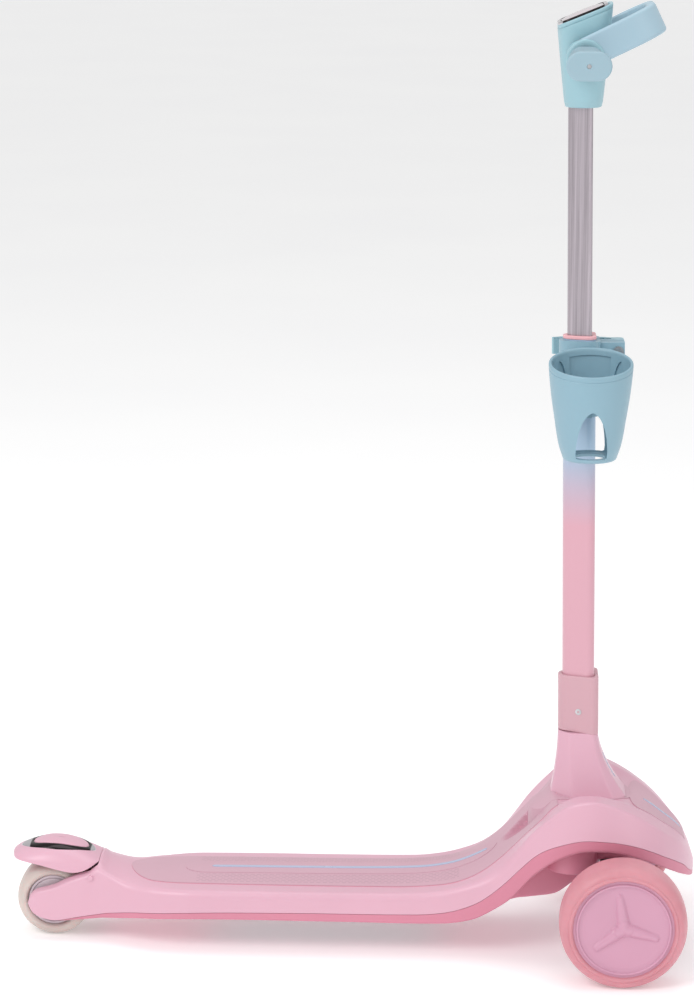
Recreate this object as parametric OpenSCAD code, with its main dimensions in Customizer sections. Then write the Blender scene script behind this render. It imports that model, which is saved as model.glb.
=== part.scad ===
// Three-wheel kick scooter for small children: two front wheels that steer by
// leaning, a telescopic mast, a folding loop handle, a cup holder and a rear
// fender brake. Millimetres; +X forward, +Y to the rider's left, +Z up.

/* [Overall] */
// Distance between the front and rear axles
wheelbase = 551; // [500:1:640]
// Nose of the body ahead of the front axle
nose_overhang = 72.4; // [70:0.1:90]
// Tip of the brake fender behind the rear axle
tail_overhang = 40.6; // [38:0.1:50]
// Height of the deck's standing surface at its edge
deck_h = 62.6; // [62:0.1:78]
// Height of the underside of the deck
deck_under = 33; // [28:0.1:36]
// Width of the deck at its seam
deck_w = 127; // [110:1:154]
// Height of the fender crest over the front axle
crest_h = 163; // [160:1:196]
// Width across the fender creases
crest_w = 160; // [150:1:168]
// Wall of the two plastic body shells
shell_t = 3; // [2.5:0.1:4]

/* [Front wheels] */
// Diameter of a front wheel
front_d = 120; // [100:1:122]
// Width of a front tyre
front_w = 46; // [36:1:50]
// Distance between the middle planes of the two front wheels
front_track = 245.4; // [240:0.2:280]
// Diameter of the front hub cap
cap_d = 89; // [74:1:90]
// Backwards tilt of the kingpins, in degrees
caster = 10; // [5:1:14]
// Distance between the two kingpins
kingpin_track = 164; // [160:1:170]
// Diameter of kingpins and wheel axles
pin_d = 8; // [7:0.5:9.6]
// Length of a steering arm
arm_l = 28; // [26:1:32]

/* [Rear wheel and brake] */
// Diameter of the rear wheel
rear_d = 74; // [62:1:75]
// Width of the rear tyre
rear_w = 44; // [36:1:45]
// Diameter of the rear hub face
rear_hub_d = 48; // [40:1:52]
// Inside gap of the rear fork
fork_gap = 51; // [50:1:56]
// Thickness of each rear fork arm
fork_t = 9; // [7:0.5:11]
// Diameter of the brake hinge pin
brake_pin_d = 5; // [4:0.5:6]

/* [Stem] */
// Height of the handlebar axis over the floor
bar_h = 857; // [790:1:1020]
// Top of the lower tube
lower_top = 594; // [560:1:700]
// Fore and aft size of the lower tube
lower_len = 30.3; // [28:0.1:32]
// Wall of the lower tube
lower_wall = 1.8; // [1.5:0.1:2.2]
// Fore and aft size of the upper tube
upper_len = 22.8; // [20:0.1:24]
// Wall of the upper tube
upper_wall = 1.5; // [1.2:0.1:2]
// Backwards rake of the stem, in degrees
rake = 0.667; // [0:0.01:3]
// Height of the collar at the stem foot
collar_h = 55; // [40:1:70]

/* [Handlebar] */
// Diameter of the crossbar
bar_d = 19; // [18:0.1:19.6]
// Overall width of the handlebar
bar_w = 284; // [260:1:340]
// Length of each grip
grip_l = 86; // [76:1:88]
// Width of the head shell
head_w = 62; // [54:1:63]
// Reach of the loop handle from the crossbar axis
loop_reach = 74; // [66:1:86]
// Outside width of the loop handle
loop_w = 94; // [93:1:96]
// Height of the loop's band
loop_band = 27; // [20:1:28]
// Upwards tilt of the loop handle, in degrees
loop_tilt = 25; // [20:1:32]

/* [Cup holder] */
// Outside diameter of the cup's rim
cup_d = 77; // [68:1:88]
// Outside diameter of the cup's foot
cup_foot_d = 50; // [42:1:54]
// Height of the cup
cup_h = 91; // [76:1:110]
// Wall of the cup
cup_t = 3; // [2.4:0.1:4]
// Height of the cup's foot over the floor
cup_z = 490; // [470:1:494]

/* [Hidden] */

fine = 96;              // sides of a drawn circle
run = 0.05;             // radial clearance of a running fit
snug = 0.02;            // radial clearance of a fixed fit
seam = 0.4;             // gap between the two body shells
skin_gap = 0.3;         // gap under what lies on a curved surface

total_l = wheelbase + nose_overhang + tail_overhang;
nose_x = total_l / 2;
front_x = nose_x - nose_overhang;
rear_x = front_x - wheelbase;
front_r = front_d / 2;
rear_r = rear_d / 2;
tail_x = rear_x + rear_r + 8.4;      // end of the deck behind the hump
scoop_x = front_x - 172;             // where the deck starts to rise
foot_z = 152;                        // foot of the neck
neck_h = 61;                         // height of the neck
half_w = deck_w / 2;
half_crest = crest_w / 2;
stem_x0 = front_x - 38.8;            // where the stem's axis meets the floor

pink = [0.93, 0.70, 0.79];
deep_pink = [0.86, 0.52, 0.62];
salmon = [0.92, 0.60, 0.64];
lilac = [0.86, 0.66, 0.78];
cream = [0.90, 0.84, 0.82];
cup_blue = [0.60, 0.75, 0.82];
head_blue = [0.66, 0.81, 0.85];
stripe_blue = [0.72, 0.76, 0.88];
steel = [0.62, 0.62, 0.65];
silver = [0.80, 0.80, 0.82];
black = [0.12, 0.12, 0.13];

// ---- curves and lofts ----

// Smooth curve through points [position, value]
function span(x, p, i = 0) = (i >= len(p) - 2 || x < p[i + 1][0]) ? i : span(x, p, i + 1);
function slope(p, i) = let (a = max(i - 1, 0), b = min(i + 1, len(p) - 1))
    (p[b][1] - p[a][1]) / (p[b][0] - p[a][0]);
function curve(x, p) = let (
    i = span(x, p), h = p[i + 1][0] - p[i][0],
    t = max(0, min(1, (x - p[i][0]) / h)),
    s = t * t * (3 - 2 * t))
    p[i][1] + (p[i + 1][1] - p[i][1]) * s
    + h * (slope(p, i) * t * (1 - t) * (1 - t) - slope(p, i + 1) * t * t * (1 - t));

function unit(v) = v / max(norm(v), 0.0001);

// Round the corner k between a and b with a radius-like reach r
function bend(a, k, b, r, n = 3) = let (
    m = min(r, 0.45 * min(norm(a - k), norm(b - k))),
    p = k + m * unit(a - k), q = k + m * unit(b - k))
    [for (i = [0:n]) let (t = i / n) (1 - t) * (1 - t) * p + 2 * t * (1 - t) * k + t * t * q];

function mirrored(half) = concat(half, [for (i = [len(half) - 2:-1:0]) [-half[i][0], half[i][1]]]);

// Walls between rings of points that have the same count
function wall_faces(rings, count) = [for (i = [0:rings - 2]) for (j = [0:count - 1])
    let (a = i * count + j, b = i * count + (j + 1) % count)
    each [[a, b, b + count], [a, b + count, a + count]]];

// Solid between convex rings
module solid_loft(rings) {
    k = len(rings);
    n = len(rings[0]);
    polyhedron(
        points = [for (r = rings) each r],
        faces = concat(wall_faces(k, n),
            [for (j = [1:n - 2]) [0, j + 1, j]],
            [for (j = [1:n - 2]) [(k - 1) * n, (k - 1) * n + j, (k - 1) * n + j + 1]]));
}

// Shell whose rings run along the outer path and back along the inner one
module shell_loft(rings) {
    k = len(rings);
    n = len(rings[0]);
    m = n / 2;
    last = (k - 1) * n;
    polyhedron(
        points = [for (r = rings) each r],
        faces = concat(wall_faces(k, n),
            [for (j = [0:m - 2]) each [[j, n - 2 - j, j + 1], [j, n - 1 - j, n - 2 - j]]],
            [for (j = [0:m - 2]) each [[last + j, last + j + 1, last + n - 2 - j],
                [last + j, last + n - 2 - j, last + n - 1 - j]]]));
}

// Tube of n sides swept along a path
function frame_at(path, i) = unit(path[min(i + 1, len(path) - 1)] - path[max(i - 1, 0)]);
module sweep_tube(path, r, n = 8, up = [0, 1, 0]) {
    solid_loft([for (i = [0:len(path) - 1]) let (
        t = frame_at(path, i),
        u = unit(cross(t, abs(t * up) > 0.95 ? [1, 0, 0] : up)),
        v = cross(t, u))
        [for (j = [0:n - 1]) path[i] + r * (cos(360 * j / n) * u + sin(360 * j / n) * v)]]);
}

// Arc as points
function arc(c, r, from, to, n) = [for (i = [0:n]) let (a = from + (to - from) * i / n)
    c + r * [cos(a), sin(a)]];

// Rounded triangle of the stem: flat front, rounded rear; grow offsets it
function stem_outline(len_x, len_y, front_r, rear_r, grow = 0) = let (
    fx = len_x / 2 - front_r, fy = len_y / 2 - front_r, bx = -len_x / 2 + rear_r,
    d = norm([fx - bx, fy]), lean = atan2(fy, fx - bx) + asin((front_r - rear_r) / d))
    concat(
        arc([fx, fy], front_r + grow, 0, 90 + lean, 8),
        arc([bx, 0], rear_r + grow, 90 + lean, 270 - lean, 14),
        arc([fx, -fy], front_r + grow, 270 - lean, 360, 8));
function upper_outline(grow = 0) = stem_outline(upper_len, upper_len * 1.05, 3, 7, grow);
function lower_outline(grow = 0) = stem_outline(lower_len, lower_len * 1.05, 6.5, 10.5, grow);
function collar_outline() = stem_outline(lower_len + 8.2, lower_len * 1.05 + 8.2, 6, 13);

// ---- lines of the body, as [position, value] ----

rear_at = function (d) rear_x + d;
front_at = function (d) front_x - d;
scoop_at = function (d) scoop_x + d;

// Height of the top along the middle
mid_line = [[tail_x, 81], [rear_at(54), 75], [rear_at(66), 70.5], [rear_at(90), deck_h + 3],
    [rear_at(150), deck_h + 3.6], [scoop_at(-80), deck_h + 4.4], [scoop_at(-25), deck_h + 6],
    [scoop_at(0), deck_h + 9], [scoop_at(19), deck_h + 14], [scoop_at(43), deck_h + 25],
    [scoop_at(62), deck_h + 38], [scoop_at(82), crest_h - 44], [scoop_at(96), crest_h - 28],
    [scoop_at(106), crest_h - 14.5], [scoop_at(116), crest_h - 13],
    [front_at(0), crest_h - 13], [front_at(-8), crest_h - 15], [front_at(-24), crest_h - 22],
    [front_at(-41), crest_h - 34], [front_at(-59), crest_h - 49], [nose_x - 5, crest_h - 64],
    [nose_x, crest_h - 79]];
// Line at the edge of the standing surface, then along the inner side of the crest
inner_y = [[tail_x, 22], [rear_at(75), 30], [rear_at(100), 38], [rear_at(130), half_w - 21],
    [scoop_at(-60), half_w - 19], [scoop_at(0), half_w - 17.5], [scoop_at(98), half_w - 15],
    [scoop_at(118), half_crest - 27], [front_at(33), half_crest - 23], [front_at(0), half_crest - 24],
    [front_at(-30), half_crest - 33], [front_at(-50), half_crest - 47], [nose_x - 10, 21],
    [nose_x - 4, 12], [nose_x, 2]];
inner_z = [[tail_x, 77], [rear_at(54), 71.5], [rear_at(75), 65], [rear_at(100), deck_h + 0.4],
    [rear_at(120), deck_h], [scoop_at(-45), deck_h], [scoop_at(0), deck_h + 3.2],
    [scoop_at(19), deck_h + 7.6], [scoop_at(39), deck_h + 17.4], [scoop_at(58), deck_h + 33],
    [scoop_at(82), crest_h - 42.6], [scoop_at(97), crest_h - 28], [scoop_at(115), crest_h - 9.5],
    [scoop_at(128), crest_h - 2], [front_at(32), crest_h], [front_at(20), crest_h - 0.5],
    [front_at(0), crest_h - 6], [front_at(-24), crest_h - 19.5], [front_at(-41), crest_h - 33],
    [front_at(-59), crest_h - 50], [nose_x - 5, crest_h - 65], [nose_x, crest_h - 79]];
// Shoulder of the deck, then the crease of the fenders
crease_y = [[tail_x, 32], [rear_at(75), 42], [rear_at(100), 52], [rear_at(140), half_w - 2.5],
    [scoop_at(0), half_w - 1.5], [scoop_at(58), half_w - 1.5], [scoop_at(72), half_crest - 16],
    [scoop_at(88), half_crest - 12.5], [scoop_at(106), half_crest - 8], [front_at(50), half_crest - 3.5],
    [front_at(32), half_crest], [front_at(20), half_crest], [front_at(2), half_crest - 2.5],
    [front_at(-18), half_crest - 8], [front_at(-38), half_crest - 18], [front_at(-52), half_crest - 34],
    [nose_x - 10, 31], [nose_x - 4, 17], [nose_x, 4]];
crease_z = [[tail_x, 71], [rear_at(75), 61], [rear_at(100), deck_h - 2], [rear_at(140), deck_h - 0.6],
    [scoop_at(-25), deck_h], [scoop_at(0), deck_h + 3], [scoop_at(18), deck_h + 7.5],
    [scoop_at(39), deck_h + 15], [scoop_at(58), deck_h + 28], [scoop_at(72), crest_h - 55],
    [scoop_at(86), crest_h - 36.5], [scoop_at(106), crest_h - 17], [front_at(50), crest_h - 5],
    [front_at(32), crest_h], [front_at(20), crest_h - 0.7], [front_at(2), crest_h - 7.3],
    [front_at(-18), crest_h - 18.4], [front_at(-38), crest_h - 33], [front_at(-59), crest_h - 54],
    [nose_x - 5, crest_h - 67], [nose_x, crest_h - 79.5]];
// Seam between the two shells
seam_y = [[tail_x, 34.5], [rear_at(56), 38], [rear_at(88), 53], [rear_at(110), half_w - 4],
    [rear_at(147), half_w - 1], [scoop_at(-60), half_w], [scoop_at(0), half_w + 0.5],
    [scoop_at(39), half_w + 3], [scoop_at(58), half_w + 5], [scoop_at(78), half_crest - 7.5],
    [scoop_at(97), half_crest - 1.5], [scoop_at(111), half_crest + 3], [front_at(39), half_crest + 8],
    [front_at(20), half_crest + 10], [front_at(2), half_crest + 8], [front_at(-18), half_crest + 3],
    [front_at(-38), half_crest - 8], [front_at(-52), half_crest - 23], [front_at(-60), half_crest - 35],
    [nose_x - 6, 32], [nose_x - 2, 18], [nose_x, 5]];
seam_z = [[rear_at(-10), 20.6], [tail_x, 28], [rear_at(56), 30.6], [rear_at(88), 36.7],
    [rear_at(147), deck_under + 8], [scoop_at(-140), deck_under + 9.5],
    [scoop_at(-27), deck_under + 10], [scoop_at(0), deck_under + 12], [scoop_at(20), deck_under + 17],
    [scoop_at(39), deck_under + 26], [scoop_at(58), deck_under + 41.5], [scoop_at(77), crest_h - 68.5],
    [scoop_at(87), crest_h - 58], [scoop_at(97), crest_h - 50], [scoop_at(111), crest_h - 43],
    [front_at(39), crest_h - 36], [front_at(20), crest_h - 35.3], [front_at(0), crest_h - 38],
    [front_at(-18), crest_h - 43.5], [front_at(-38), crest_h - 54], [front_at(-60), crest_h - 71],
    [nose_x - 3, crest_h - 85], [nose_x, crest_h - 88]];
// Lower edge of the darker lip
lip_z = [[rear_at(11), 20], [tail_x, 22.8], [rear_at(63), 25.3], [rear_at(91), deck_under - 3],
    [rear_at(147), deck_under + 0.2], [scoop_at(-90), deck_under + 0.2],
    [scoop_at(0), deck_under + 0.2], [scoop_at(30), deck_under + 5.3], [scoop_at(48), deck_under + 14.5],
    [scoop_at(67), deck_under + 29], [scoop_at(87), crest_h - 77], [scoop_at(97), crest_h - 67.5],
    [scoop_at(111), crest_h - 57], [front_at(39), crest_h - 47], [front_at(20), crest_h - 45.6],
    [front_at(0), crest_h - 48.5], [front_at(-18), crest_h - 55.3], [front_at(-38), crest_h - 65.6],
    [front_at(-60), crest_h - 82], [nose_x - 5, crest_h - 88.5], [nose_x, crest_h - 94]];
// Pan under the fenders, between the lip and the keel
pan_z = [[tail_x, 22.5], [rear_at(91), deck_under - 3], [rear_at(147), deck_under],
    [scoop_at(0), deck_under], [scoop_at(30), deck_under + 5], [scoop_at(48), deck_under + 13.5],
    [scoop_at(67), deck_under + 25], [scoop_at(87), crest_h - 84], [scoop_at(110), crest_h - 66],
    [front_at(40), crest_h - 56], [front_at(10), crest_h - 53], [front_at(-20), crest_h - 61],
    [front_at(-40), crest_h - 71], [front_at(-60), crest_h - 84], [nose_x, crest_h - 94]];
// Keel: the box under the middle that carries the front axle
keel_y = [[tail_x, 22], [rear_at(91), 36], [rear_at(147), 42], [scoop_at(0), 44],
    [front_at(0), 42], [front_at(-40), 32], [front_at(-60), 18], [nose_x, 2]];
keel_z = [[tail_x, 22.5], [rear_at(91), deck_under - 3], [rear_at(147), deck_under],
    [scoop_at(0), deck_under], [scoop_at(18), deck_under + 1.5], [scoop_at(30), deck_under + 4.5],
    [scoop_at(43), deck_under + 10], [scoop_at(55), deck_under + 16], [scoop_at(68), deck_under + 20],
    [scoop_at(88), deck_under + 22.5], [scoop_at(109), deck_under + 25.7],
    [scoop_at(117), deck_under + 30], [scoop_at(127), deck_under + 38], [scoop_at(139), deck_under + 48],
    [front_at(20), deck_under + 60], [front_at(-24), deck_under + 60], [front_at(-42), deck_under + 56],
    [front_at(-60), crest_h - 86], [nose_x, crest_h - 94]];

stations = concat(
    [for (i = [0:6]) tail_x + 9 * i],
    [for (i = [1:9]) tail_x + 54 + (scoop_x - tail_x - 54) * i / 9],
    [for (i = [1:24]) scoop_x + (nose_x - 22 - scoop_x) * i / 24],
    [nose_x - 16, nose_x - 11, nose_x - 7, nose_x - 4, nose_x - 1.5, nose_x]);

// How square the dip between the two crests is: a crown on the deck, a pocket at the neck
function dip_power(x) = curve(x, [[scoop_x, 2], [scoop_at(60), 2.4], [scoop_at(110), 5],
    [front_at(0), 5], [front_at(-40), 2.5], [nose_x, 2]]);
function top_z(x, y) = let (w = curve(x, inner_y), m = curve(x, mid_line), e = curve(x, inner_z))
    m + (e - m) * pow(min(abs(y) / w, 1), dip_power(x));

// The flat strips that the shell's top is made of, as shares of its half width
skin_steps = [0, 0.28, 0.55, 0.8, 1];
function skin_z(x, y) = let (w = curve(x, inner_y), f = min(abs(y) / w, 0.999),
    i = span(f, [for (s = skin_steps) [s, 0]]), a = skin_steps[i], b = skin_steps[i + 1],
    za = top_z(x, a * w))
    za + (top_z(x, b * w) - za) * (f - a) / (b - a);

// Half section of the upper shell, from the seam up to the middle, as [y, z]
function upper_half(x) = let (
    s = [-curve(x, seam_y), curve(x, seam_z)],
    c = [-curve(x, crease_y), curve(x, crease_z)],
    e = [-curve(x, inner_y), curve(x, inner_z)],
    rc = curve(x, [[rear_at(100), 12], [scoop_at(20), 12], [scoop_at(80), 3.5], [nose_x, 3]]),
    q = [e[0] * 0.8, top_z(x, e[0] * 0.8)])
    concat([s], bend(s, c, e, rc), bend(c, e, q, 4, 2),
        [for (i = [3:-1:0]) let (f = skin_steps[i]) [e[0] * f, top_z(x, e[0] * f)]]);

// Half section of the lower shell, from the seam down to the keel
function lower_half(x) = let (
    s = [-curve(x, seam_y), curve(x, seam_z) - seam],
    l = [s[0] + min(2, -s[0] / 4), curve(x, lip_z)],
    ky = curve(x, keel_y), kz = curve(x, keel_z),
    p = [-max(-l[0] - 12, ky + 3, -l[0] * 0.7), curve(x, pan_z)],
    q = [-min(ky + 2, -p[0] - 0.5), p[1] - 0.5],
    k = [-min(ky, -q[0] - 0.5), min(kz, q[1] - 0.05)])
    concat([s], bend(s, l, p, 2.5, 2), [p], bend(p, q, k, 3, 2), bend(q, k, [0, k[1]], 4, 2),
        [[0, k[1]]]);

function with_x(x, path) = [for (p = path) [x, p[0], p[1]]];
function reversed(path) = [for (i = [len(path) - 1:-1:0]) path[i]];

// The inner face follows the outer one, moved in by the wall on every side
function inner_x(x) = tail_x + shell_t + (x - tail_x) * (total_tail() - 2 * shell_t) / total_tail();
function total_tail() = nose_x - tail_x;
function upper_ring(x) = let (
    xi = inner_x(x), out = mirrored(upper_half(x)), in = mirrored(upper_half(xi)),
    w = curve(xi, seam_y), sz = curve(xi, seam_z), rise = curve(xi, mid_line) - sz,
    ky = max(0.2, (w - shell_t) / w), kz = max(0.2, (rise - shell_t) / rise))
    concat(with_x(x, out), reversed([for (p = in) [xi, p[0] * ky, sz + (p[1] - sz) * kz]]));
function lower_ring(x) = let (
    xi = inner_x(x), out = mirrored(lower_half(x)), in = mirrored(lower_half(xi)),
    w = curve(xi, seam_y), n = len(in), ky = max(0.2, (w - shell_t) / w),
    top = curve(xi, seam_z) - seam)
    concat(with_x(x, out), reversed([for (i = [0:n - 1])
        [xi, in[i][0] * ky, (i == 0 || i == n - 1) ? top : min(in[i][1] + shell_t, top - 0.05)]]));

// ---- placing helpers ----

module on_stem() {
    translate([stem_x0, 0, 0]) rotate([0, -rake, 0]) children();
}

module at_front_wheel(side) {
    translate([front_x, side * front_track / 2, front_r]) rotate([-90 * side, 0, 0]) children();
}

module at_kingpin(side) {
    translate([front_x, side * kingpin_track / 2, front_r]) rotate([0, -caster, 0]) children();
}

module at_rear_wheel() {
    translate([rear_x, 0, rear_r]) rotate([-90, 0, 0]) children();
}

module tube_between(r_out, r_in, z0, z1) {
    translate([0, 0, z0]) difference() {
        cylinder(r = r_out, h = z1 - z0, $fn = fine);
        translate([0, 0, -1]) cylinder(r = r_in, h = z1 - z0 + 2, $fn = fine);
    }
}

module bar_y(x, z, r, y0, y1) {
    translate([x, y0, z]) rotate([-90, 0, 0]) cylinder(r = r, h = y1 - y0, $fn = fine);
}

// ---- body ----

fork_in = fork_gap / 2;
fork_out = fork_in + fork_t;
fork_top = [[rear_at(-24.6), 37], [rear_at(-22), 45], [rear_at(-16), 50.5], [rear_at(-6), 53.2],
    [rear_at(4), 56.6], [rear_at(13), 61.5], [rear_at(25), 66.4], [rear_at(36), 70.5],
    [rear_at(43), 75.5], [rear_at(47), 80]];
fork_low = [[rear_at(-24.6), 37], [rear_at(-21), 30.5], [rear_at(-14), 25], [rear_at(-3), 21.3],
    [rear_at(9), 20.8], [tail_x + 8, 29.5]];

// Side outline of a fork arm, from the tip along the top and back along the bottom
fork_outline = concat(
    [for (i = [0:16]) let (x = rear_at(-24.6) + i * (rear_at(47) - rear_at(-24.6)) / 16)
        [x, curve(x, fork_top)]],
    [[tail_x + 8, 78]],
    [for (i = [12:-1:1]) let (x = rear_at(-24.6) + i * (tail_x + 8 - rear_at(-24.6)) / 12)
        [x, curve(x, fork_low)]]);

module fork_arm(side) {
    difference() {
        translate([0, side > 0 ? fork_out : -fork_in, 0]) rotate([90, 0, 0])
            linear_extrude(height = fork_t) polygon(fork_outline);
        bar_y(rear_x, rear_r, pin_d / 2 + snug, -60, 60);
        bar_y(brake_pin_x, brake_pin_z, brake_pin_d / 2 + snug, -60, 60);
    }
}

module deck_shell() color(pink) {
    difference() {
        shell_loft([for (x = stations) upper_ring(x)]);
        on_stem() translate([0, 0, foot_z - 20]) linear_extrude(height = 40)
            polygon(lower_outline(0.5));
    }
    fork_arm(1);
    fork_arm(-1);
}

screw_spots = [for (sx = [-1, 1], sy = [-1, 1]) [front_x - 5 + 9 * sx, 30 * sy]];

module lower_shell() color(deep_pink) difference() {
    shell_loft([for (x = stations) lower_ring(x)]);
    for (p = screw_spots) translate([p[0], p[1], 60]) cylinder(r = 2.5 + snug, h = 80, $fn = fine);
}

brace_from = rear_at(151);
brace_to = scoop_at(-2);
brace_w = 64;
brace_t = 1.6;
brace_drop = 1.2;                    // gap that clears the slight sag of the keel
module deck_brace() color(silver)
    translate([brace_from, -brace_w / 2, deck_under - brace_drop - brace_t])
        cube([brace_to - brace_from, brace_w, brace_t]);

sheet_crown = 0.15;                  // a laid sheet stands this much higher along its middle

// Sheet that lies on the top of the body, bent at the same stations as the shell under it
module laid_sheet(from_x, to_x, half, t, lift, sides = 8, ends = []) {
    inside = [for (x = stations) if (x > from_x + 1 && x < to_x - 1) x];
    function face_z(x, y, h) = skin_z(x, y) + lift + sheet_crown * (1 - pow(y / h, 2));
    solid_loft([for (x = concat([from_x], [for (d = ends) from_x + d], inside, [to_x])) let (h = half(x))
        concat(
            [for (j = [0:sides]) let (y = h - 2 * h * j / sides) [x, y, face_z(x, y, h)]],
            [for (j = [0:sides]) let (y = -h + 2 * h * j / sides) [x, y, face_z(x, y, h) + t]])]);
}

pad_t = 1.4;
pad_from = rear_x + 75;
pad_to = scoop_at(78);
// Half width of the pad: round at its rear end, as wide as the standing surface after it
function pad_half(x) = let (e = curve(x, inner_y) - 3, d = x - pad_from)
    d < 26 ? max(3, e * sqrt(max(0, 1 - pow(1 - d / 26, 2)))) : e;
module deck_pad() color(pink)
    laid_sheet(pad_from + 0.2, pad_to, function (x) pad_half(x), pad_t, skin_gap, 8, [1.5, 4]);

module deck_stripe() color(stripe_blue)
    laid_sheet(pad_from + 82, scoop_at(45), function (x) 1.6, 0.5, skin_gap + pad_t + 2 * sheet_crown, 1);

function panel_half(x) = curve(x, inner_y) * 0.86;
module front_panel() color(pink)
    laid_sheet(front_at(-9), front_at(-63), function (x) panel_half(x), 1.1, skin_gap);

module front_stripe() color(stripe_blue)
    laid_sheet(front_at(-24), front_at(-58), function (x) 1.5, 0.6, skin_gap + 1.1 + 2 * sheet_crown, 1);

// Neck section: eight corners that flare towards the foot
function neck_ring(z) = let (
    f = pow(1 - z / neck_h, 1.8), c = stem_x0 - (foot_z + z) * tan(rake),
    half = lower_len / 2, r = -half - 4 - 7.5 * f, g = half + 4 + 27 * f,
    y1 = half + 3.5 + 12 * f, y2 = half + 4.5 + 10.5 * f)
    [[c + r, -7 - 3 * f, foot_z + z], [c - 9 + 3 * f, -y1, foot_z + z],
        [c + 15.5 + 19 * f, -y2, foot_z + z], [c + g, -14 - 6 * f, foot_z + z],
        [c + g, 14 + 6 * f, foot_z + z], [c + 15.5 + 19 * f, y2, foot_z + z],
        [c - 9 + 3 * f, y1, foot_z + z], [c + r, 7 + 3 * f, foot_z + z]];
neck_steps = 9;
module neck() color(pink) difference() {
    solid_loft([for (i = [0:neck_steps]) neck_ring(neck_h * i / neck_steps)]);
    on_stem() translate([0, 0, foot_z - 10]) linear_extrude(height = neck_h + 20)
        polygon(lower_outline(snug));
}

// Thin inlay standing on the front facet of the neck
module neck_stripe() color(stripe_blue)
    solid_loft([for (i = [0:5]) let (z = 14 + 22 * i / 5, x = neck_ring(z)[3][0] + 0.25)
        [[x, -1.4, foot_z + z], [x + 0.9, -1.4, foot_z + z],
            [x + 0.9, 1.4, foot_z + z], [x, 1.4, foot_z + z]]]);

socket_z = deck_under + 64;          // foot of the socket, over the keel's floor
socket_top = foot_z - 6;
bolt_z = (socket_z + socket_top) / 2;
module stem_socket() color(steel) difference() {
    translate([stem_x0 - 22, -23, socket_z]) cube([44, 46, socket_top - socket_z]);
    on_stem() translate([0, 0, socket_z + 4]) linear_extrude(height = 80)
        polygon(lower_outline(snug));
    bar_y(stem_x0, bolt_z, 3 + snug, -40, 40);
}

module stem_bolt() color(steel) {
    bar_y(stem_x0, bolt_z, 3, -30, 28);
    bar_y(stem_x0, bolt_z, 5.2, -30, -24);
    translate([stem_x0, 24, bolt_z]) rotate([-90, 0, 0]) cylinder(r = 5.4, h = 4, $fn = 6);
}

// ---- front axle ----

ear_lo = [-22, -16];                 // span of the lower ear along the kingpin
ear_hi = [27, 33];
sleeve = [-15.5, 12.5];              // span of the knuckle's sleeve
ear_r = 10.5;
module crossmember() color(steel) difference() {
    union() {
        for (s = [-1, 1]) at_kingpin(s) {
            for (e = [ear_lo, ear_hi]) {
                translate([0, 0, e[0]]) cylinder(r = ear_r, h = e[1] - e[0], $fn = fine);
                translate([-ear_r, s > 0 ? -24 : 0, e[0]]) cube([2 * ear_r, 24, e[1] - e[0]]);
            }
            translate([-ear_r, s > 0 ? -24 : 16, ear_lo[0]])
                cube([2 * ear_r, 8, ear_hi[1] - ear_lo[0]]);
        }
        translate([front_x - 19, -kingpin_track / 2 + 20, front_r + 20])
            cube([28, kingpin_track - 40, 12]);
    }
    for (s = [-1, 1]) at_kingpin(s) translate([0, 0, -40])
        cylinder(r = pin_d / 2 + snug, h = 90, $fn = fine);
    for (p = screw_spots) translate([p[0], p[1], 60]) cylinder(r = 2.5 + snug, h = 60, $fn = fine);
}

module kingpins() color(silver) for (s = [-1, 1]) at_kingpin(s) {
    translate([0, 0, ear_lo[0] - 2]) cylinder(r = pin_d / 2, h = ear_hi[1] - ear_lo[0] + 4, $fn = fine);
    translate([0, 0, ear_lo[0] - 4]) cylinder(r = pin_d / 2 + 2.5, h = 3.5, $fn = fine);
    translate([0, 0, ear_hi[1] + 0.5]) cylinder(r = pin_d / 2 + 2, h = 2.5, $fn = fine);
}

function coil(r, turns, z0, z1, per = 12) = [for (i = [0:turns * per])
    [r * cos(360 * i / per), r * sin(360 * i / per), z0 + (z1 - z0) * i / (turns * per)]];

module centring_springs() color(steel) for (s = [-1, 1]) at_kingpin(s)
    sweep_tube(coil(7.6, 5, sleeve[1] + 1.8, ear_hi[0] - 1.8), 1, 6, [0, 0, 1]);

module frame_screws() color(silver) for (p = screw_spots) translate([p[0], p[1], 0]) {
    translate([0, 0, front_r + 17]) cylinder(r = 4.6, h = 3, $fn = fine);
    translate([0, 0, front_r + 19]) cylinder(r = 2.5, h = 22, $fn = fine);
}

axle_from = 9;                       // start of an axle outside its kingpin
module knuckle(side) color(black) at_kingpin(side) difference() {
    union() {
        translate([0, 0, sleeve[0]]) cylinder(r = 9.5, h = sleeve[1] - sleeve[0], $fn = fine);
        rotate([0, caster, 0]) rotate([-90 * side, 0, 0]) cylinder(r = 8, h = axle_from + 3, $fn = fine);
        translate([-arm_l, -5, sleeve[0]]) cube([arm_l, 10, 6]);
        translate([-arm_l, 0, sleeve[0]]) cylinder(r = 5, h = 6, $fn = fine);
        translate([-arm_l, 0, sleeve[0] + 5]) cylinder(r = 3, h = 9, $fn = fine);
    }
    translate([0, 0, -40]) cylinder(r = pin_d / 2 + run, h = 80, $fn = fine);
    rotate([0, caster, 0]) rotate([-90 * side, 0, 0]) translate([0, 0, pin_d / 2 + 1.5])
        cylinder(r = pin_d / 2 + snug, h = 20, $fn = fine);
}
module knuckle_left() knuckle(1);
module knuckle_right() knuckle(-1);

axle_out = 11;                       // end of the axle outside the wheel's middle plane
module axle(side) color(silver) at_front_wheel(side) {
    h = front_track / 2 - kingpin_track / 2 - pin_d / 2 - 2;
    translate([0, 0, -h]) cylinder(r = pin_d / 2, h = h + axle_out, $fn = fine);
    translate([0, 0, axle_from - h + 0.2]) cylinder(r = pin_d / 2 + 2, h = h - axle_from - 12.5, $fn = fine);
}
module axle_left() axle(1);
module axle_right() axle(-1);

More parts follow.
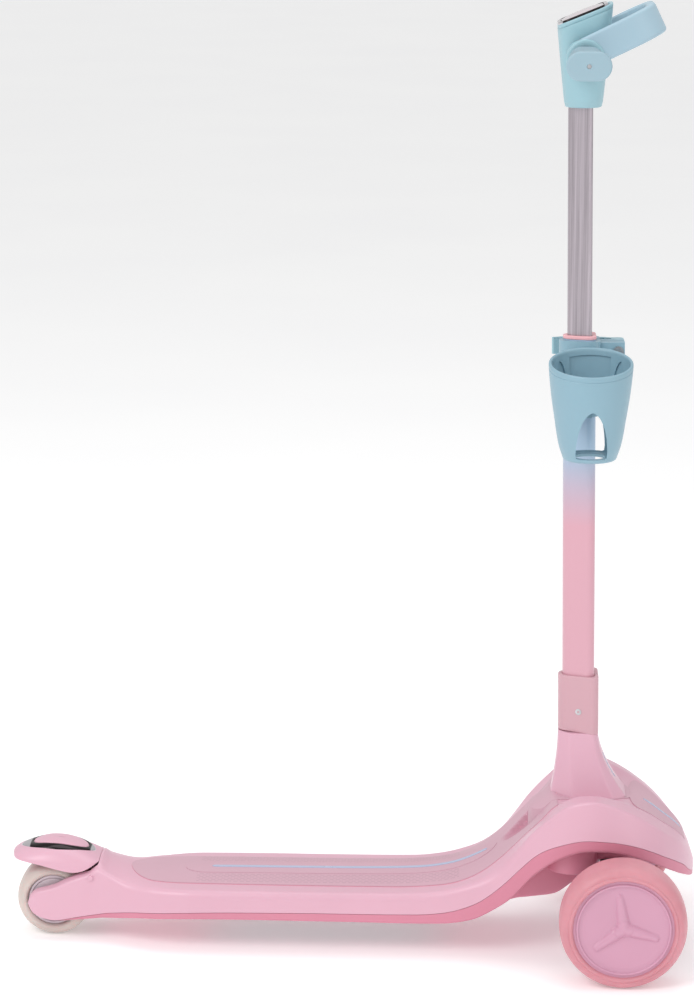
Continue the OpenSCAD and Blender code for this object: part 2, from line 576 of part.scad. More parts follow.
module wheel_nut(side) color(steel) at_front_wheel(side) difference() {
    union() {
        translate([0, 0, 10.4]) cylinder(r = 7, h = 1.4, $fn = fine);
        translate([0, 0, 11.6]) cylinder(r = 7.2, h = 5, $fn = 6);
    }
    translate([0, 0, 9]) cylinder(r = pin_d / 2 + snug, h = 2, $fn = fine);
}
module wheel_nut_left() wheel_nut(1);
module wheel_nut_right() wheel_nut(-1);

slot = 1.3;                          // half slack of the tie rod's slots, fore and aft
rod_z = [sleeve[0] + 6.6, sleeve[0] + 11.6];
module tie_rod() color(steel) difference() {
    for (s = [-1, 1]) at_kingpin(s) {
        translate([-arm_l, 0, rod_z[0]]) cylinder(r = 7.5, h = rod_z[1] - rod_z[0], $fn = fine);
        translate([-arm_l - 4, s > 0 ? -kingpin_track / 2 - 0.5 : 0, rod_z[0]])
            cube([8, kingpin_track / 2 + 0.5, rod_z[1] - rod_z[0]]);
    }
    for (s = [-1, 1]) at_kingpin(s) for (d = [-slot, 0, slot])
        translate([-arm_l + d, 0, rod_z[0] - 2]) cylinder(r = 3.2, h = 10, $fn = fine);
}

// ---- front wheels: profiles as [radius, height over the middle plane] ----

rim_r = cap_d / 2 + 2.6;
function tyre_profile(r, w, bore_r, crown, step) = let (
    h = w / 2, sx = r - step, n = 7,
    shoulder = [for (i = [0:n]) let (a = 90 * i / n)
        [sx + step * sin(a), crown + (h - crown) * cos(a)]])
    concat([[bore_r, -h + 2], [bore_r, h - 2], [bore_r + 2, h]], shoulder,
        [for (i = [n:-1:0]) [shoulder[i][0], -shoulder[i][1]]], [[bore_r + 2, -h]]);

module front_tyre(side) color(salmon) at_front_wheel(side) rotate_extrude($fn = fine)
    polygon(tyre_profile(front_r, front_w, rim_r, 13, 8.5));
module tyre_left() front_tyre(1);
module tyre_right() front_tyre(-1);

bearing_r = 11;
bearing_w = 7;
bearing_at = 9;                      // outer face of a front bearing
cap_face = front_w / 2 - 1;          // outer face of the hub cap
cap_h = 6;                           // thickness of the hub cap
web_z = -front_w / 2 + 3.4;          // inner face of the rim's web
module front_rim(side) color(lilac) at_front_wheel(side) difference() {
    union() {
        tube_between(rim_r - snug, cap_d / 2 + 0.1, -front_w / 2 + 2.4, front_w / 2 - 3);
        tube_between(rim_r - 1, cap_d / 2 - 1.5, -front_w / 2 + 2.4, cap_face - cap_h - snug);
        tube_between(cap_d / 2 - 1, bearing_r + 2, web_z, web_z + 4);
        tube_between(bearing_r + 4, bearing_r - 2.5, web_z, bearing_at + 0.6);
    }
    translate([0, 0, web_z - 1]) cylinder(r = bearing_r + snug, h = bearing_w - bearing_at - web_z + 1, $fn = fine);
    translate([0, 0, bearing_at - bearing_w]) cylinder(r = bearing_r + snug, h = bearing_w + 3, $fn = fine);
}
module rim_left() front_rim(1);
module rim_right() front_rim(-1);

module hub_cap(side) color(lilac) at_front_wheel(side) {
    difference() {
        translate([0, 0, cap_face - cap_h]) cylinder(r = cap_d / 2, h = cap_h, $fn = fine);
        translate([0, 0, cap_face - 3.4]) cylinder(r1 = 20, r2 = cap_d / 2 - 3.5, h = 3.5, $fn = fine);
        translate([0, 0, cap_face - 8]) cylinder(r = cap_d / 2 - 4, h = 3.4, $fn = fine);
    }
    for (i = [0:2]) rotate([0, 0, 90 * side + 120 * i]) translate([0, 0, cap_face - 3.6])
        linear_extrude(height = 3) polygon(concat([[0, -4.5]],
            arc([30, 0], 2.2, -90, 90, 6), [[0, 4.5]]));
}
module hub_cap_left() hub_cap(1);
module hub_cap_right() hub_cap(-1);

// Ball bearings and the spacer between them
module bearings(side) color(silver) at_front_wheel(side) {
    for (z = [-bearing_at, bearing_at - bearing_w])
        tube_between(bearing_r, pin_d / 2 + run, z, z + bearing_w);
    tube_between(pin_d / 2 + 2.2, pin_d / 2 + run, -bearing_at + bearing_w + 0.2,
        bearing_at - bearing_w - 0.2);
}
module bearings_left() bearings(1);
module bearings_right() bearings(-1);

// ---- rear wheel and brake ----

module rear_axle() color(silver) {
    bar_y(rear_x, rear_r, pin_d / 2, -fork_out + 1.5, fork_out - 1.5);
    for (s = [-1, 1]) {
        y0 = s > 0 ? rear_w / 2 - 1 : -fork_in + 0.4;
        bar_y(rear_x, rear_r, pin_d / 2 + 2.5, y0, y0 + fork_in - rear_w / 2 + 0.6);
    }
}

module rear_tyre() color(cream) at_rear_wheel() rotate_extrude($fn = fine)
    polygon(tyre_profile(rear_r, rear_w, rear_hub_d / 2 + 1, 10, 9));

rear_face = rear_w / 2 - 2.2;
module rear_hub() color(cream) at_rear_wheel() difference() {
    tube_between(rear_hub_d / 2 + 1 - snug, bearing_r - 2.5, -rear_w / 2 + 2.4, rear_w / 2 - 2.4);
    for (z = [-rear_face - 5, rear_face - bearing_w - 1])
        translate([0, 0, z]) cylinder(r = bearing_r + snug, h = bearing_w + 6, $fn = fine);
    for (i = [0:2], z = [-1, 1]) rotate([0, 0, 90 + 120 * i]) translate([17, 0, z > 0 ? rear_face - 8 : -30])
        cylinder(r = 1.6 + snug, h = z > 0 ? 30 : 38 - rear_face, $fn = fine);
}

module rear_hub_screws() color(black) at_rear_wheel()
    for (i = [0:2], z = [-1, 1]) rotate([0, 0, 90 + 120 * i]) translate([17, 0, z * (rear_face - 3.9)])
        cylinder(r = 1.6, h = 7.6, center = true, $fn = fine);

module rear_bearings() color(silver) at_rear_wheel() {
    for (z = [-rear_face + 1, rear_face - bearing_w - 1])
        tube_between(bearing_r, pin_d / 2 + run, z, z + bearing_w);
    tube_between(pin_d / 2 + 2.2, pin_d / 2 + run, -rear_face + bearing_w + 1.2, rear_face - bearing_w - 1.2);
}

brake_pin_x = tail_x - 7.5;
brake_pin_z = rear_r + 27;
module brake_hinge_pin() color(silver)
    bar_y(brake_pin_x, brake_pin_z, brake_pin_d / 2, -fork_out + 1, fork_out - 1);

// Lines of the brake fender from its tip to its hinge
brake_tip = -nose_x;
brake_at = function (d) brake_tip + d;
brake_top = [[brake_tip, 82.5], [brake_at(3), 84.5], [brake_at(8), 87.2], [brake_at(20), 92.8],
    [brake_at(34), 97.2], [brake_at(48), 97.4], [brake_at(62), 93.6], [brake_at(74), 87.2],
    [brake_at(84.5), 79.5]];
brake_low = [[brake_tip, 80.5], [brake_at(3), 78.8], [brake_at(8), 78.4], [brake_at(27), 76],
    [brake_at(46), 71.6], [brake_at(60), 69], [brake_at(70), 70], [brake_at(78), 73.4],
    [brake_at(84.5), 77.5]];
brake_half = [[brake_tip, 9], [brake_at(2), 15], [brake_at(8), 22], [brake_at(20), 27.5],
    [brake_at(40), 31], [brake_at(60), 31.5], [brake_at(74), 28], [brake_at(84.5), 22]];
brake_stations = [for (i = [0:20]) let (t = i / 20) brake_tip + 84.5 * (0.45 * t * t + 0.55 * t)];
brake_wall = 3.2;

function brake_section(x, inset) = let (
    h = curve(x, brake_half) - inset, zt = curve(x, brake_top) - inset, zl = curve(x, brake_low),
    side = [-h, zl], edge = [-h + 1.5, zl + (zt - zl) * 0.62], deck = [-h * 0.55, zt - 1.2], mid = [0, zt])
    mirrored(concat([side], bend(side, edge, deck, 5, 3), bend(edge, deck, mid, 8, 3), [mid]));
function brake_ring(x) = let (xi = brake_tip + brake_wall + (x - brake_tip) * (84.5 - 2 * brake_wall) / 84.5,
    out = brake_section(x, 0), in = brake_section(xi, brake_wall))
    concat(with_x(x, out), reversed([for (p = in) [xi, p[0], min(p[1], curve(xi, brake_top) - brake_wall)]]));

module brake_fender() color(pink) {
    shell_loft([for (x = brake_stations) brake_ring(x)]);
    difference() {
        translate([rear_x - 3, -7, 2 * rear_r]) cube([9, 14, curve(rear_x, brake_top) - 2 * rear_r - 2]);
        at_rear_wheel() cylinder(r = shoe_r + snug, h = 40, center = true, $fn = fine);
    }
    for (s = [-1, 1]) difference() {
        translate([0, s > 0 ? 23.5 : -17.5, 0]) rotate([90, 0, 0]) linear_extrude(height = 6)
            polygon(concat(arc([brake_pin_x, brake_pin_z], 5.2, -180, 30, 12),
                [[brake_pin_x + 3.5, 78], [brake_pin_x - 6, 84], [brake_pin_x - 12, 82]]));
        bar_y(brake_pin_x, brake_pin_z, brake_pin_d / 2 + run, -40, 40);
    }
}

function brake_skin(x, half, lift, t) = let (n = 6)
    concat(
        [for (j = [0:n]) let (y = half - 2 * half * j / n) [x, y, brake_top_at(x, y) + lift]],
        [for (j = [0:n]) let (y = -half + 2 * half * j / n) [x, y, brake_top_at(x, y) + lift + t]]);
function brake_top_at(x, y) = curve(x, brake_top) + 0.2
    - 1.2 * pow(abs(y) / (curve(x, brake_half) * 0.55), 2);
function trim_half(x) = let (c = brake_at(46), a = 40)
    max(1.5, 19 * sqrt(max(0, 1 - pow((x - c) / a, 2))));
module brake_trim() color(silver)
    solid_loft([for (i = [0:14]) let (x = brake_at(8) + 73 * i / 14) brake_skin(x, trim_half(x), 0.3, 1.1)]);
module brake_pad() color(pink)
    solid_loft([for (i = [0:10]) let (x = brake_at(19) + 50 * i / 10)
        brake_skin(x, trim_half(x) * 0.8, 1.6, 1)]);

// Friction plate under the fender's block, bent round the wheel
shoe_t = 2.4;
shoe_r = rear_r + 5;                 // outer radius of the friction plate
module brake_shoe() color(steel) at_rear_wheel() difference() {
    cylinder(r = shoe_r, h = 18, center = true, $fn = fine);
    cylinder(r = shoe_r - shoe_t, h = 20, center = true, $fn = fine);
    translate([-100, -12, -20]) cube([200, 100, 40]);
    for (s = [-1, 1]) rotate([0, 0, s > 0 ? 28 : -6]) translate([s > 0 ? 0 : -100, -100, -20])
        cube([100, 200, 40]);
}

module brake_spring() color(steel) translate([brake_pin_x, 0, brake_pin_z]) rotate([90, 0, 0])
    sweep_tube(coil(4.2, 5, -8, 8), 0.8, 6, [0, 0, 1]);

// ---- stem ----

module lower_tube() color(pink) difference() {
    on_stem() difference() {
        translate([0, 0, socket_z + 4.2]) linear_extrude(height = lower_top - socket_z - 4.2)
            polygon(lower_outline());
        translate([0, 0, socket_z]) linear_extrude(height = lower_top - socket_z + 2)
            polygon(lower_outline(-lower_wall));
        for (z = [collar_screw_z, cup_screw_z]) screw_hole(z);
    }
    bar_y(stem_x0, bolt_z, 3.4, -40, 40);
}

collar_z = foot_z + neck_h + 0.4;
collar_screw_z = collar_z + 20;
cup_screw_z = cup_z + 50;
module collar() color(pink) on_stem() difference() {
    translate([0, 0, collar_z]) linear_extrude(height = collar_h) polygon(collar_outline());
    translate([0, 0, collar_z - 1]) linear_extrude(height = collar_h + 2) polygon(lower_outline(snug));
    screw_hole(collar_screw_z);
}

// Small screws into the near side of the stem, and the stepped holes they sit in
screw_seat = lower_len / 2 - 1.45;   // how far out the screw heads sit
module at_screw(z) translate([0, 0, z]) rotate([0, 0, -20]) translate([lower_len * 0.178, 0, 0])
    rotate([90, 0, 0]) children();
module screw_hole(z) at_screw(z) {
    cylinder(r = 1.8, h = 40, $fn = fine);
    translate([0, 0, screw_seat]) cylinder(r = 3.3, h = 20, $fn = fine);
}
module small_screw(z) at_screw(z) difference() {
    union() {
        translate([0, 0, screw_seat]) cylinder(r = 3, h = 1.6, $fn = fine);
        translate([0, 0, screw_seat - 4.4]) cylinder(r = 1.6, h = 5, $fn = fine);
    }
    translate([0, 0, screw_seat + 0.8]) cylinder(r = 1.2, h = 2, $fn = 6);
}
module stem_screws() color(silver) on_stem() for (z = [collar_screw_z, cup_screw_z]) small_screw(z);

flange_h = 3.4;
module tube_bushing() color(pink) on_stem() difference() {
    union() {
        translate([0, 0, lower_top + 0.1]) linear_extrude(height = flange_h) polygon(lower_outline(0.5));
        translate([0, 0, lower_top - 40]) linear_extrude(height = 41)
            polygon(lower_outline(-lower_wall - snug));
    }
    translate([0, 0, lower_top - 42]) linear_extrude(height = 50) polygon(upper_outline(run));
}

clamp_h = 21;
clamp_z = lower_top - clamp_h - 1;
lug_x = lower_len / 2 + 21;          // where the clamp bolt crosses the lug
lug_y = 10;
module clamp_body() color(cup_blue) on_stem() difference() {
    union() {
        translate([0, 0, clamp_z]) linear_extrude(height = clamp_h)
            polygon(stem_outline(lower_len + 8, lower_len * 1.05 + 8, 8, 14));
        translate([lower_len / 2 + 1, -lug_y, clamp_z + 2]) cube([lug_x - lower_len / 2 + 5, 2 * lug_y, clamp_h - 4]);
    }
    translate([0, 0, clamp_z - 1]) linear_extrude(height = clamp_h + 2) polygon(lower_outline(snug));
    translate([lower_len / 2 - 2, -1.5, clamp_z - 1]) cube([40, 3, clamp_h + 2]);
    translate([lug_x, 30, clamp_z + clamp_h / 2]) rotate([90, 0, 0]) cylinder(r = 2.6, h = 60, $fn = fine);
}

lever_y = lug_y + 9;                 // the cam lever's pivot
module clamp_bolt() color(silver) on_stem() translate([lug_x, 0, clamp_z + clamp_h / 2]) {
    translate([0, lug_y + 2.6, 0]) rotate([90, 0, 0]) cylinder(r = 2.5, h = 2 * lug_y + 5, $fn = fine);
    translate([0, -lug_y - 0.1, 0]) rotate([90, 0, 0]) cylinder(r = 5, h = 1, $fn = fine);
    translate([0, -lug_y - 1, 0]) rotate([90, 0, 0]) cylinder(r = 3.8, h = 2.6, $fn = fine);
    translate([0, lug_y + 0.1, 0]) difference() {
        translate([-4, 0, -2.9]) cube([8, 13, 5.8]);
        translate([0, lever_y - lug_y, -10]) cylinder(r = 2 + run, h = 20, $fn = fine);
    }
}

// Cam lever that wraps back along the left side of the clamp; its pin is part of it
module clamp_lever() color(head_blue) on_stem() translate([lug_x, lever_y + 0.1, clamp_z + clamp_h / 2]) {
    translate([0, 0, -8]) cylinder(r = 2, h = 16, $fn = fine);
    for (z = [-8, 3.3]) translate([0, 0, z]) {
        cylinder(r = 6, h = 4.7, $fn = fine);
        translate([-12, 0.5, 0]) cube([12, 5, 4.7]);
    }
    translate([0, 0, -8]) linear_extrude(height = 16) polygon([[-6.2, 5.8], [-6.2, 2.5], [-12, 3.2], [-26, 7.6],
        [-40, 9.4], [-52, 9], [-60, 6.8], [-61.5, 9], [-53, 12.6], [-40, 13.2], [-26, 11.8], [-12, 8.6]]);
}

cup_y = -(lower_len / 2 + 47);
cup_x = stem_x0 - cup_z * tan(rake) + 7.9;
rail_w = 16;
plate_y = lower_len * 0.525 + 4;     // face of the bracket towards the cup
slot_top = cup_screw_z + 18.3;       // where the cup's slot comes down on the bracket
module cup_bracket() color(cup_blue) on_stem() difference() {
    union() {
        translate([0, 0, cup_screw_z - 18]) linear_extrude(height = 36)
            polygon(stem_outline(lower_len + 7, lower_len * 1.05 + 7, 8, 14));
        translate([-rail_w / 2, -plate_y - 3.5, cup_screw_z - 18]) cube([rail_w, 6, 36]);
        translate([-rail_w / 2 - 3, -plate_y - 5.5, cup_screw_z - 18]) cube([rail_w + 6, 2.6, 36]);
    }
    translate([0, 0, cup_screw_z - 30]) linear_extrude(height = 60) polygon(lower_outline(snug));
    screw_hole(cup_screw_z);
}

cup_r = cup_d / 2;
cup_foot_r = cup_foot_d / 2;
drain_r = 14;                        // hole in the cup's floor
function cup_r_at(z) = cup_foot_r + (cup_r - cup_foot_r) * pow(min(1, z / cup_h), 0.75);
function cup_line(inset, from, to, n) = [for (i = [0:n]) let (z = from + (to - from) * i / n)
    [cup_r_at(z) - inset, z]];

// Arched window through the wall, on the side that angle names
module cup_window(angle, w, z0, z1) rotate([0, 0, angle]) {
    translate([0, -w / 2, z0]) cube([60, w, z1 - z0 - w / 2]);
    translate([0, 0, z1 - w / 2]) rotate([0, 90, 0]) cylinder(r = w / 2, h = 60, $fn = fine);
}

module cup_holder() color(cup_blue) difference() {
    union() {
        translate([cup_x, cup_y, cup_z]) difference() {
            rotate_extrude($fn = fine) polygon(concat(
                [[drain_r, 0], [cup_foot_r - 4, 0], [cup_foot_r, 4]], cup_line(0, 6, cup_h, 8),
                reversed(cup_line(cup_t, 8, cup_h, 8)),
                [[cup_foot_r - cup_t - 2, cup_t], [drain_r, cup_t]]));
            cup_window(-90, 24, 10, 50);
            for (a = [30, 150]) cup_window(a, 20, 10, 46);
            for (a = [45, 135]) cup_window(a, 14, 56, 84);
        }
        difference() {
            on_stem() translate([-rail_w / 2 - 7, -plate_y - 11, cup_z + 26]) cube([rail_w + 14, 10, 60]);
            translate([cup_x, cup_y, cup_z]) rotate_extrude($fn = fine)
                polygon(concat([[0, 0]], cup_line(cup_t / 2, 0, cup_h + 8, 8), [[0, cup_h + 8]]));
        }
    }
    on_stem() {
        translate([-rail_w / 2 - 3.4, -plate_y - 5.9, cup_z + 20]) cube([rail_w + 6.8, 3.4, slot_top - cup_z - 20]);
        translate([-rail_w / 2 - 0.4, -plate_y - 3.4, cup_z + 20]) cube([rail_w + 0.8, 12, slot_top - cup_z - 20]);
    }
}

// ---- mast ----

head_z = bar_h - 47;
upper_from = bar_h - 437;            // foot of the upper tube inside the lower one
upper_to = bar_h - bar_d / 2 - 1;
module upper_tube() color(silver) on_stem() translate([0, 0, upper_from]) difference() {
    linear_extrude(height = upper_to - upper_from) polygon(upper_outline());
    translate([0, 0, -1]) linear_extrude(height = upper_to - upper_from + 2) polygon(upper_outline(-upper_wall));
}

module tube_guide() color(black) on_stem() difference() {
    translate([0, 0, upper_from - 3]) linear_extrude(height = 24) polygon(lower_outline(-lower_wall - run));
    translate([0, 0, upper_from - 0.1]) linear_extrude(height = 30) polygon(upper_outline(snug));
}

head_x = stem_x0 - bar_h * tan(rake);
bar_x = head_x + 3.5;
// Head section: round at the foot, wider and squarer towards the top
function head_ring(z) = let (
    t = z / 110, a = 17.9 + 10 * pow(t, 1.2), b = 17.9 + (head_w / 2 - 17.9) * pow(min(1, t * 1.5), 0.8),
    p = 2 / (2 + 1.8 * min(1, t * 1.6)), n = 40)
    [for (i = [0:n - 1]) let (u = 360 * i / n, c = cos(u), s = sin(u))
        [head_x + 0.5 + 2 * t + a * sign(c) * pow(abs(c), p), b * sign(s) * pow(abs(s), p), head_z + z]];
plate_tilt = 22;
plate_at = [head_x + 0.8, 0, bar_h + 38.2];       // middle of the tilted top

module head_shell() color(head_blue) difference() {
    solid_loft([for (i = [0:16]) head_ring(115 * i / 16)]);
    translate(plate_at) rotate([0, -plate_tilt, 0]) translate([-80, -80, 0]) cube([160, 160, 80]);
    on_stem() translate([0, 0, head_z - 10]) linear_extrude(height = upper_to - head_z + 10.2)
        polygon(upper_outline(snug));
    bar_y(bar_x, bar_h, bar_d / 2 + snug, -60, 60);
    for (s = [-1, 1]) bar_y(bar_x, bar_h, 18.5, s > 0 ? head_w / 2 - 2.2 : -head_w / 2 - 20,
        s > 0 ? head_w / 2 + 20 : -head_w / 2 + 2.2);
}

module plate_solid(lx, ly, r, z0, h) translate(plate_at) rotate([0, -plate_tilt, 0])
    translate([0.6, 0, z0]) linear_extrude(height = h) polygon(concat(
        arc([lx / 2 - r, ly / 2 - r], r, 0, 90, 8), arc([-lx / 2 + r, ly / 2 - r], r, 90, 180, 8),
        arc([-lx / 2 + r, -ly / 2 + r], r, 180, 270, 8), arc([lx / 2 - r, -ly / 2 + r], r, 270, 360, 8)));
module badge_bezel() color(silver) difference() {
    plate_solid(50, head_w - 8, 13, 0.05, 1.6);
    plate_solid(40, head_w - 18, 9, -1, 4);
}
module badge_insert() color(cream) plate_solid(39.6, head_w - 18.4, 8.8, 0.05, 2.2);

module crossbar() color(silver) difference() {
    bar_y(bar_x, bar_h, bar_d / 2, -bar_w / 2 + 4, bar_w / 2 - 4);
    bar_y(bar_x, bar_h, bar_d / 2 - 1.5, -bar_w / 2, bar_w / 2);
}

boss_w = 13;
boss_y = loop_w / 2 - boss_w;        // inner face of a loop boss
grip_from = bar_w / 2 - grip_l;
// Oval grip with a flange at its outer end
function oval(lx, lz) = let (r = lz / 2, h = lx / 2 - lz / 2)
    concat(arc([h, 0], r, -90, 90, 16), arc([-h, 0], r, 90, 270, 16));
module grip(side) color(head_blue) difference() {
    union() {
        translate([bar_x, side > 0 ? bar_w / 2 - 4 : -grip_from, bar_h]) rotate([90, 0, 0])
            linear_extrude(height = grip_l - 4) polygon(oval(32, 24));
        translate([bar_x, side > 0 ? bar_w / 2 : -bar_w / 2 + 5, bar_h]) rotate([90, 0, 0])
            linear_extrude(height = 5) polygon(oval(40.5, 26));
    }
    bar_y(bar_x, bar_h, bar_d / 2 + snug, -bar_w / 2 + 3.9, bar_w / 2 - 3.9);
    bar_y(bar_x, bar_h, 2, -bar_w, bar_w);
}
module grip_left() grip(1);
module grip_right() grip(-1);
module grip_screws() color(silver) for (s = [-1, 1]) {
    y0 = s > 0 ? bar_w / 2 - 14 : -bar_w / 2 + 1;
    bar_y(bar_x, bar_h, 1.9, y0, y0 + 13);
}

// Loop handle: two round bosses on the crossbar and a flat band bent into a loop
function loop_path(inset) = let (w = loop_w / 2 - 1.2 - inset, l = loop_reach - inset, r = 31 - inset)
    concat([[0, -w]], arc([l - r, -w + r], r, -90, 0, 10), arc([l - r, w - r], r, 0, 90, 10), [[0, w]]);
module loop_handle() color(head_blue) translate([bar_x, 0, bar_h]) difference() {
    union() {
        rotate([0, -loop_tilt, 0]) translate([0, 0, -loop_band / 2]) linear_extrude(height = loop_band)
            polygon(concat(loop_path(0), reversed(loop_path(9))));
        for (s = [-1, 1]) translate([0, s > 0 ? boss_y : -loop_w / 2, 0]) rotate([-90, 0, 0])
            cylinder(r = 18, h = boss_w, $fn = fine);
    }
    rotate([90, 0, 0]) translate([0, 0, -60]) cylinder(r = bar_d / 2 + run, h = 120, $fn = fine);
}

deck_shell();
lower_shell();
deck_brace();
deck_pad();
deck_stripe();
front_panel();
front_stripe();
neck();
neck_stripe();
stem_socket();
stem_bolt();
crossmember();
kingpins();
centring_springs();
frame_screws();
brake_hinge_pin();
brake_fender();
brake_trim();
brake_pad();
brake_shoe();
brake_spring();
knuckle_left();
knuckle_right();
axle_left();
axle_right();
wheel_nut_left();
wheel_nut_right();
tie_rod();
tyre_left();
tyre_right();
rim_left();
rim_right();
hub_cap_left();
hub_cap_right();
bearings_left();
bearings_right();
rear_axle();
rear_tyre();
rear_hub();
rear_bearings();
rear_hub_screws();
lower_tube();
collar();
stem_screws();
tube_bushing();
clamp_body();
clamp_bolt();
clamp_lever();
cup_bracket();
cup_holder();
upper_tube();
tube_guide();
head_shell();
badge_bezel();
badge_insert();
crossbar();
grip_left();
grip_right();
grip_screws();
loop_handle();
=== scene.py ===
import math
import bpy
import bmesh
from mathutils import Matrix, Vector


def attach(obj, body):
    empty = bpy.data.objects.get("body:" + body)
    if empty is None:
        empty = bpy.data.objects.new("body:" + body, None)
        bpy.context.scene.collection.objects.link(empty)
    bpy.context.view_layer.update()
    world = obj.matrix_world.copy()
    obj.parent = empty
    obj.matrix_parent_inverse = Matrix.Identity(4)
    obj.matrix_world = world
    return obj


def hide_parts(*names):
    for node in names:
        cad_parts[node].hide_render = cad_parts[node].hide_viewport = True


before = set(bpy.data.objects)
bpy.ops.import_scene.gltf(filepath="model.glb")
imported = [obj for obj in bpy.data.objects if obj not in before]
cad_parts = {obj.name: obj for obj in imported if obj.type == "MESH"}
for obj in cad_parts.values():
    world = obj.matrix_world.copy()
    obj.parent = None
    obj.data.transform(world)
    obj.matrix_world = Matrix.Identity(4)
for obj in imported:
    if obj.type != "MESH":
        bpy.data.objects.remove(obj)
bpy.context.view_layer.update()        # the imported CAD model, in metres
mm = 0.001


def mix(a, b, t):
    return a + (b - a) * t


def ease(t):
    t = max(0.0, min(1.0, t))
    return t * t * (3 - 2 * t)


def slopeAt(points, i):
    a, b = max(i - 1, 0), min(i + 1, len(points) - 1)
    return (points[b][1] - points[a][1]) / (points[b][0] - points[a][0])


def along(x, points):        # smooth line through (place, value) pairs
    i = 0
    while i < len(points) - 2 and x >= points[i + 1][0]:
        i += 1
    (x0, v0), (x1, v1) = points[i], points[i + 1]
    h = x1 - x0
    t = max(0.0, min(1.0, (x - x0) / h))
    s = t * t * (3 - 2 * t)
    return (v0 + (v1 - v0) * s + h * (slopeAt(points, i) * t * (1 - t) ** 2
            - slopeAt(points, i + 1) * t * t * (1 - t)))


def bend(a, k, b, r, n=4):        # rounds the corner k between a and b
    a, k, b = Vector(a), Vector(k), Vector(b)
    m = min(r, 0.45 * (a - k).length, 0.45 * (b - k).length)
    p = k + (a - k).normalized() * m
    q = k + (b - k).normalized() * m
    return [tuple(p * (1 - t) ** 2 + k * 2 * t * (1 - t) + q * t * t)
            for t in [i / n for i in range(n + 1)]]


def mirrored(half):        # half runs from the right edge to the middle, as (y, z)
    return half + [(-y, z) for y, z in reversed(half[:-1])]


def rounded(corners, r, n=4):        # closed outline with round corners
    out = []
    for i, k in enumerate(corners):
        out += bend(corners[i - 1], k, corners[(i + 1) % len(corners)], r, n)
    return out


def arcPoints(cx, cy, r, start, end, n):
    return [(cx + r * math.cos(math.radians(start + (end - start) * i / n)),
             cy + r * math.sin(math.radians(start + (end - start) * i / n))) for i in range(n + 1)]


def solidObject(name, verts, faces, cleaned=True):        # points in mm
    mesh = bpy.data.meshes.new(name)
    mesh.from_pydata([tuple(c * mm for c in v) for v in verts], [], faces)
    bm = bmesh.new()
    bm.from_mesh(mesh)
    if cleaned:
        bmesh.ops.remove_doubles(bm, verts=bm.verts, dist=1e-6)
        bmesh.ops.dissolve_degenerate(bm, edges=bm.edges, dist=1e-7)
    bmesh.ops.recalc_face_normals(bm, faces=bm.faces)
    bm.to_mesh(mesh)
    bm.free()
    obj = bpy.data.objects.new(name, mesh)
    bpy.context.scene.collection.objects.link(obj)
    return obj


def smoothed(mesh):
    for face in mesh.polygons:
        face.use_smooth = True


def piece(name, verts, faces, body, slot, nodes, finish):
    obj = solidObject(name, verts, faces)
    smoothed(obj.data)
    obj.data.materials.append(finishes[finish])
    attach(obj, body)
    if nodes:
        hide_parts(*nodes)
    return obj


def ringFaces(rings, count, capped):
    faces = []
    for i in range(rings - 1):
        for j in range(count):
            a, b = i * count + j, i * count + (j + 1) % count
            faces.append((a, b, b + count, a + count))
    if capped:
        faces.append(tuple(range(count)))
        faces.append(tuple(reversed(range((rings - 1) * count, rings * count))))
    return faces


def ringSolid(rings, capped=True):
    return [v for ring in rings for v in ring], ringFaces(len(rings), len(rings[0]), capped)


def loft(name, rings, *details):
    return piece(name, *ringSolid(rings), *details)


def loopedSolid(rings):        # the last ring joins on to the first
    count, last = len(rings[0]), (len(rings) - 1) * len(rings[0])
    verts, faces = ringSolid(rings, False)
    return verts, faces + [(last + j, last + (j + 1) % count, (j + 1) % count, j) for j in range(count)]


def circle(place, r, h, steps):
    return [place(r, 2 * math.pi * i / steps, h) for i in range(steps)]


def revolved(profile, place, steps):        # place turns (radius, angle, height) into a point
    return loopedSolid([circle(place, r, h, steps) for r, h in profile])


def aboutY(cx, cy, cz, side=1):        # heights run along +Y times side
    return lambda r, a, h: (cx + r * math.cos(a), cy + side * h, cz + r * math.sin(a))


def edgeWork(obj, width, segments=3, angle=35):
    bev = obj.modifiers.new("edges", "BEVEL")
    bev.width = width
    bev.segments = segments
    bev.limit_method = "ANGLE"
    bev.angle_limit = math.radians(angle)
    bev.harden_normals = True
    weighted(obj)


def weighted(obj):
    obj.modifiers.new("normals", "WEIGHTED_NORMAL")


def cutBy(obj, cutters):        # takes the cutters away and uses them up
    for tool in cutters:
        mod = obj.modifiers.new("cut", "BOOLEAN")
        mod.operation = "DIFFERENCE"
        mod.solver = "EXACT"
        mod.object = tool
    bpy.context.view_layer.update()
    applied(obj)
    for tool in cutters:
        bpy.data.objects.remove(tool)


def applied(obj):        # bakes the modifiers into the mesh
    graph = bpy.context.evaluated_depsgraph_get()
    made = bpy.data.meshes.new_from_object(obj.evaluated_get(graph))
    obj.modifiers.clear()
    obj.data = made
    smoothed(made)


def prism(outline, place, low, high):        # outline (u, v) pushed from low to high
    return ringSolid([[place(u, v, h) for u, v in outline] for h in (low, high)])


def cutter(verts, faces):
    return solidObject("cutter", verts, faces, False)


def blank(name):
    mat = bpy.data.materials.new(name)
    mat.use_nodes = True
    return mat, mat.node_tree


def feed(tree, values):        # numbers, colours or other nodes' outputs into the shader
    inputs = tree.nodes["Principled BSDF"].inputs
    for name, value in values.items():
        if isinstance(value, bpy.types.NodeSocket):
            tree.links.new(value, inputs[name])
        else:
            inputs[name].default_value = value


def axes(tree, vector):
    split = tree.nodes.new("ShaderNodeSeparateXYZ")
    tree.links.new(vector, split.inputs["Vector"])
    return split.outputs


